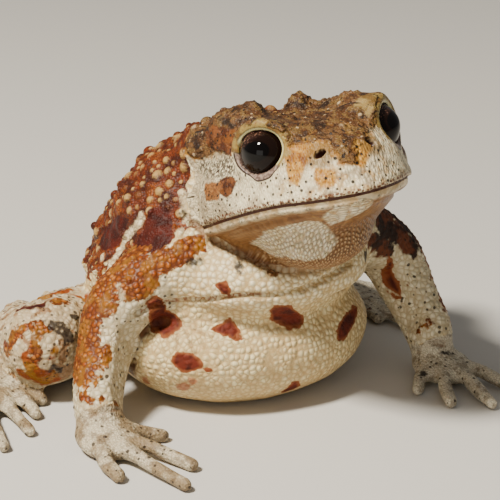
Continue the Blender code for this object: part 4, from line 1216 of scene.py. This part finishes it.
    def cheeks():
        """Pale, creased cheeks with a grey stipple behind the eyes."""
        cheek = mix(step(middling, 0.34, 0.56), "cheek grey", "cheek white")
        behind = step(wires.add("SeparateXYZ", None, Vector=head_place).outputs["X"], 14.0, 5.0)
        creases = cloud(stretched(0.55, 0.9, 1.5, head_place), 1.6, 4.0)
        crease = step(wires.sum("ABSOLUTE", less(creases, 0.5)), 0.05, 0.0)
        cheek = mix(times(crease, plus(0.12, times(behind, 0.6))), cheek, "cheek joint")
        cheek = mix(times(pores["Joint"], step(wide, 0.62, 0.38, 0.1, 0.5)), cheek, "cheek joint")
        cheek = mix(times(behind, step(wide, 0.58, 0.44, 0.25, 0.8)), cheek, "cheek grey")
        relief = plus(times(pores["Dome"], 0.12), times(crease, times(behind, -0.14)))
        lay(head_mask, cheek, relief, 0.42)
        stipple = mix(step(fine, 0.46, 0.62), "grey deep", "cheek white")
        lay(times(mask("grey", 1.4, wide, 0.3), 0.9), stipple)

    def throat():
        """Brown throat of small scales with painted highlights on the lower scales' tops, and pale patches."""
        tones = ("throat joint", "throat low", "throat high", 0.45)
        throat = mix(field("scaled"), granular(large, *tones), granular(scales, *tones))
        throat = mix(step(wide, 0.40, 0.62, 0.0, 0.5), throat, "throat high")
        # Painted highlights on the tops of the lower throat's scales.
        glint = times(step(scales["Dome"], 0.55, 1.0), step(above, -4.5, -7.0, 0.0, 0.6))
        throat = mix(glint, throat, "throat glint")
        throat_relief = times(scales["Dome"], step(above, -3.5, -6.5, 0.05, 0.3))
        lay(jaw, throat, wires.blend(field("scaled"), times(large["Dome"], 0.2), throat_relief), 0.4)
        patch = granular(scales, "patch joint", "patch low", "patch high", 0.55)
        lay(mask("patch", 0.8, close, 0.2), patch, times(scales["Dome"], 0.55), 0.34)

    def stains():
        """Ochre stains of the snout and the crown's lower edge."""
        brown = mix(step(middling, 0.40, 0.58), "ochre deep", "ochre")
        stain = mix(step(fine, 0.36, 0.60), "ochre", "ochre pale")
        low_crown = mask(plus(field("crown"), 0.10), 1.7, middling, 0.2)
        lay(times(low_crown, step(field("crown"), 0.02, 0.25)), mix(step(wide, 0.45, 0.56), stain, brown))
        ochre = mask(plus(field("ochre"), 0.25), 1.3, middling, 0.25)
        lay(times(ochre, step(field("ochre"), 0.02, 0.25)), mix(step(wide, 0.48, 0.58), stain, brown))
        freckled = times(step(close, 0.50, 0.62), step(field("snout"), 0.1, 0.9, 0.0, 0.5))
        lay(times(freckled, head_mask), stain)
        rim_stain = times(less(field("near_pit"), times(middling, 0.5)), 1.6)
        lay(step(rim_stain, 0.0, 1.0, 0.0, 0.7), "crown olive")

    def crown():
        """Brown, ridged crown."""
        streaks = cloud(stretched(0.30, 0.75, 0.9, head_place), 1.0, 4.0)
        crown = mix(step(middling, 0.36, 0.54), "crown deep", "crown brown")
        crown = mix(step(wide, 0.50, 0.60, 0.0, 0.9), crown, "crown tan")
        crown = mix(step(streaks, 0.53, 0.60, 0.0, 0.85), crown, "crown olive")
        crown = mix(step(streaks, 0.46, 0.36, 0.0, 0.7), crown, "crown deep")
        crown = mix(times(small["Joint"], 0.55), crown, "crown deep")
        crown = mix(times(step(hair, 0.62, 0.70), 0.35), crown, "crown wart")
        bright_wart = times(step(field("wart"), 0.35, 0.7), step(tone, 0.80, 0.92))
        crown = mix(times(bright_wart, 0.8), crown, "crown wart")
        crown_mask = mask("crown", 1.5, wide, 0.14)
        ridges = plus(times(streaks, 0.7), times(cloud(uneven, 1300.0, 3.0), 0.25))
        lay(crown_mask, crown, plus(ridges, times(small["Dome"], 0.07)), 0.5)
        crown_specks = wires.use(specks, Place=uneven, Scale=1100.0, Amount=0.9, Size=0.24).outputs["Mask"]
        lay(times(times(crown_specks, crown_mask), 0.9), "dot")

    def face_marks():
        """Rust and tan marks, dots of the upper lip and its brown band."""
        face_rust = mix(step(close, 0.42, 0.58), "face rust deep", "face rust")
        lay(mask("face_rust", 1.1, close, 0.14), mix(step(middling, 0.52, 0.62), face_rust, "ochre deep"))
        tan_patch = mix(step(fine, 0.35, 0.6), "tan deep", "tan")
        lay(mask("tan", 0.7, close, 0.14), tan_patch)
        lay(mask("pale", 1.0, close, 0.2), mix(step(middling, 0.4, 0.6), "lid olive", "ridge pale"))
        lip_side = times(head_mask, without(jaw))
        amount = plus(0.35, times(step(above, 9.0, 0.0), 0.45))
        face_dots = wires.use(face_specks, Place=face_place, Scale=0.86, Amount=amount, Size=0.185).outputs["Mask"]
        lay(times(times(face_dots, lip_side), 0.95), "dot")
        band = wires.use(face_specks, Place=face_place, Scale=2.1, Amount=0.85, Size=0.5).outputs["Mask"]
        lay(times(times(band, times(between(above, 0.15, 1.0, 0.2), lip_near)), 0.85), "lip brown")

    def body_marks():
        """Rust, rosy and ink marks."""
        deep = mix(step(middling, 0.38, 0.62), "mark deep", "mark rust")
        rim = mix(step(field("rust"), 0.52, 0.80), "mark rim", deep)
        lay(mask(plus(field("rust"), 0.06), 0.6), rim, times(large["Dome"], 0.16), 0.7)
        lay(times(mask("rosy", 0.8, close, 0.14), 0.85), "rosy")
        lay(times(mask("ink", 1.3, close, 0.14), 0.92), "dot")

    def mouth_lids_and_folds():
        """Lips and lids, painted shade in the mouth's slit, inside the nostrils and in the folds, and the chest fold's
        rusty line.
        """
        lip = mix(step(middling, 0.4, 0.6), "lip low", "lip pale")
        ragged_above = plus(above, times(less(close, 0.5), 2.2))
        lay(times(between(ragged_above, -0.85, 0.0, 0.3), lip_near), lip, 0.03, 0.45)
        # Painted shade along the mouth's slit.
        lay(times(between(above, -0.18, 0.28, 0.08), lip_near), "mouth slit shade", 0.0, 0.45)
        ring, over = field("lid_ring"), step(field("lid_over"), 0.35, 0.65)
        olive = mix(step(middling, 0.44, 0.56), "lid olive", "lid pale")
        olive = mix(step(fine, 0.50, 0.36, 0.0, 0.5), olive, "ochre deep")
        ragged_ring = plus(ring, times(less(close, 0.5), 4.0))
        lay(times(step(ragged_ring, 2.2, 1.4), over), olive, plus(times(fine, 0.14), times(close, 0.2)), 0.42)
        lid_dots = wires.use(specks, Place=uneven, Scale=1500.0, Amount=0.8, Size=0.22).outputs["Mask"]
        lay(times(times(lid_dots, between(ring, 1.1, 2.6, 0.2)), times(over, 0.9)), "dot")
        lay(times(step(ring, 0.62, 0.30), over), "lid rim", 0.0, 0.36)
        under = mix(step(fine, 0.4, 0.6), "under lid", "under lid pale")
        lay(times(step(ring, 1.55, 1.35), without(over)), "lid line", 0.0, 0.36)
        lay(times(step(ring, 1.25, 1.05), without(over)), under, 0.01, 0.34)
        lay(step(ring, 0.16, 0.04), "lid line", 0.0, 0.3)
        # Painted shade inside the nostrils.
        lay(step(field("pit"), 0.25, 0.8), "pit", 0.0, 0.3)
        # Painted shade darkens the folds and creases.
        lay(times(step(field("fold_shade"), 0.1, 0.9), 0.75), "fold_shade")
        broken = step(plus(close, times(large["Joint"], 0.10)), 0.42, 0.62)
        lay(times(times(step(field("fold_rust"), 0.15, 0.8), broken), 0.75), "fold rust")

    layers = (limbs_and_hands, back_and_warts, shoulders_and_arms, cheeks, throat, stains, crown, face_marks,
              body_marks, mouth_lids_and_folds)
    for paint in layers:
        paint()
    bump = wires.add("Bump", None, Height=height, Strength=1.0, Distance=MM)
    wires.feed(shader.inputs["Base Color"], colour)
    wires.feed(shader.inputs["Roughness"], rough)
    wires.feed(shader.inputs["Normal"], bump.outputs["Normal"])
    shader.inputs["Specular IOR Level"].default_value = 0.24
    shader.inputs["Subsurface Weight"].default_value = 0.05
    shader.inputs["Subsurface Radius"].default_value = (1.0, 0.35, 0.2)
    shader.inputs["Subsurface Scale"].default_value = 0.5 * MM
    return material


def eye_material():
    """A wet dark eye: black pupil lying level, copper flecks round its top that are partly painted glints, and a
    painted sheen there.
    """
    material = bpy.data.materials.new("wet_eye")
    material.use_nodes = True
    wires = Wiring(material.node_tree)
    shader = material.node_tree.nodes["Principled BSDF"]
    place = wires.add("TexCoord").outputs["Object"]
    up, across = wires.field("up"), wires.field("across")
    round_off = wires.add("VectorMath", {"operation": "LENGTH"})
    spot = wires.add("CombineXYZ", None, X=wires.sum("DIVIDE", up, 1.5), Y=wires.sum("DIVIDE", across, 2.1), Z=0.0)
    wires.feed(round_off.inputs[0], spot.outputs[0])
    pupil = wires.step(round_off.outputs["Value"], 1.04, 0.96)
    flecks, painted_sheen = wires.cloud(place, 3000.0, 4.0), wires.cloud(place, 700.0, 2.0)
    high = wires.step(wires.sum("ADD", up, wires.sum("MULTIPLY", across, 0.4)), 1.5, 3.2)
    # Painted sheen: a hazy reflection over the iris's top.
    iris = wires.mix(wires.sum("MULTIPLY", high, wires.step(painted_sheen, 0.3, 0.6)), "iris dark", "iris painted sheen")
    # Copper flecks: partly the iris's own colour, partly painted glints.
    copper_and_glints = wires.sum("MULTIPLY", high, wires.step(flecks, 0.52, 0.70, 0.0, 0.8))
    iris = wires.mix(copper_and_glints, iris, "iris copper and glint")
    colour = wires.mix(pupil, iris, "pupil")
    wires.feed(shader.inputs["Base Color"], colour)
    shader.inputs["Roughness"].default_value = 0.04
    shader.inputs["IOR"].default_value = 1.4
    shader.inputs["Specular IOR Level"].default_value = 0.28
    return material


def eye(side, sign, material):
    """A wet ball with a raised cornea, its places across and up the eye kept for its pattern."""
    bpy.ops.mesh.primitive_uv_sphere_add(segments=64, ring_count=40, radius=EYE_RADIUS * MM)
    ball = only(bpy.context.object)
    ball.name = f"wet_eye_{side}"
    place, _ = points_of(ball)
    angle = np.degrees(np.arccos(np.clip(place[:, 2] / EYE_RADIUS, -1, 1)))
    place *= (1 + (1 - fade(angle, 0, CORNEA_REACH)) * CORNEA_RISE / EYE_RADIUS)[:, None]
    set_points(ball, place)
    add_fields(ball, {"up": place[:, 0], "across": place[:, 1]})
    turn = Matrix.Scale(MM, 4) @ eye_frame(sign) @ Matrix.Scale(1 / MM, 4)
    ball.data.transform(turn)
    ball.data.update()
    bpy.ops.object.shade_smooth()
    ball.data.materials.append(material)
    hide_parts(f"eye_{side}")
    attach(ball, "root")


def light(name, turn, rise, away, size, power, colour):
    """A soft square light that faces the toad."""
    back = facing(turn, rise)
    bpy.ops.object.light_add(type="AREA", location=(Vector(CAMERA_TARGET) + back * away) * MM)
    lamp = bpy.context.object
    lamp.name = name
    lamp.rotation_euler = (-back).to_track_quat("-Z", "Y").to_euler()
    lamp.data.size = size * MM
    lamp.data.energy = power
    lamp.data.color = colour


def camera():
    """The camera at the photograph's angle."""
    back = facing(CAMERA_TURN, CAMERA_RISE)
    bpy.ops.object.camera_add(location=(Vector(CAMERA_TARGET) + back * CAMERA_AWAY) * MM)
    cam = bpy.context.object
    cam.rotation_euler = (-back).to_track_quat("-Z", "Y").to_euler()
    cam.data.sensor_width = SENSOR
    cam.data.lens = SENSOR * CAMERA_AWAY / PICTURE_WIDTH
    cam.data.clip_start = 1 * MM
    bpy.context.scene.camera = cam


def plain_material(name, colour, roughness):
    """A material of one colour."""
    material = bpy.data.materials.new(name)
    material.use_nodes = True
    shader = material.node_tree.nodes["Principled BSDF"]
    shader.inputs["Base Color"].default_value = (*colour, 1)
    shader.inputs["Roughness"].default_value = roughness
    return material


def set_stage():
    """Pale floor, soft room, lights and camera."""
    bpy.ops.mesh.primitive_plane_add(size=FLOOR_SIZE * MM, location=(0, 0, -0.05 * MM))
    floor = only(bpy.context.object)
    floor.name = "floor"
    bpy.ops.object.transform_apply()
    floor.data.materials.append(plain_material("pale_floor", FLOOR_COLOUR, 0.7))
    world = bpy.data.worlds.new("soft_room")
    bpy.context.scene.world = world
    world.use_nodes = True
    sky = world.node_tree.nodes["Background"].inputs
    sky["Color"].default_value = (*ROOM_COLOUR, 1)
    sky["Strength"].default_value = ROOM_STRENGTH
    for name, settings in LIGHTS.items():
        light(name, *settings)
    camera()


def build():
    """The dressed toad on its stage."""
    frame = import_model()
    nodes = frame["nodes"]
    skin = skin_base(nodes)
    lumps(skin, *LUMPS)
    swell_crown(skin)
    draw_arms_out(skin)
    tuck_jaw(skin)
    press(skin, mouth_line(), *MOUTH_GROOVE)
    for points, width, depth in FOLDS.values():
        press(skin, smooth_path(points), width, depth)
    grown = grow_warts(skin, nodes)
    hug_eyes(skin)
    pits = nostrils(skin)
    finish_skin(skin)
    skin_fields(skin, nodes, grown, pits)
    skin.data.materials.clear()
    skin.data.materials.append(skin_material())
    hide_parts(*FLESH)
    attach(skin, "root")
    wet = eye_material()
    for side, sign in SIDES.items():
        eye(side, sign, wet)
    set_stage()


build()
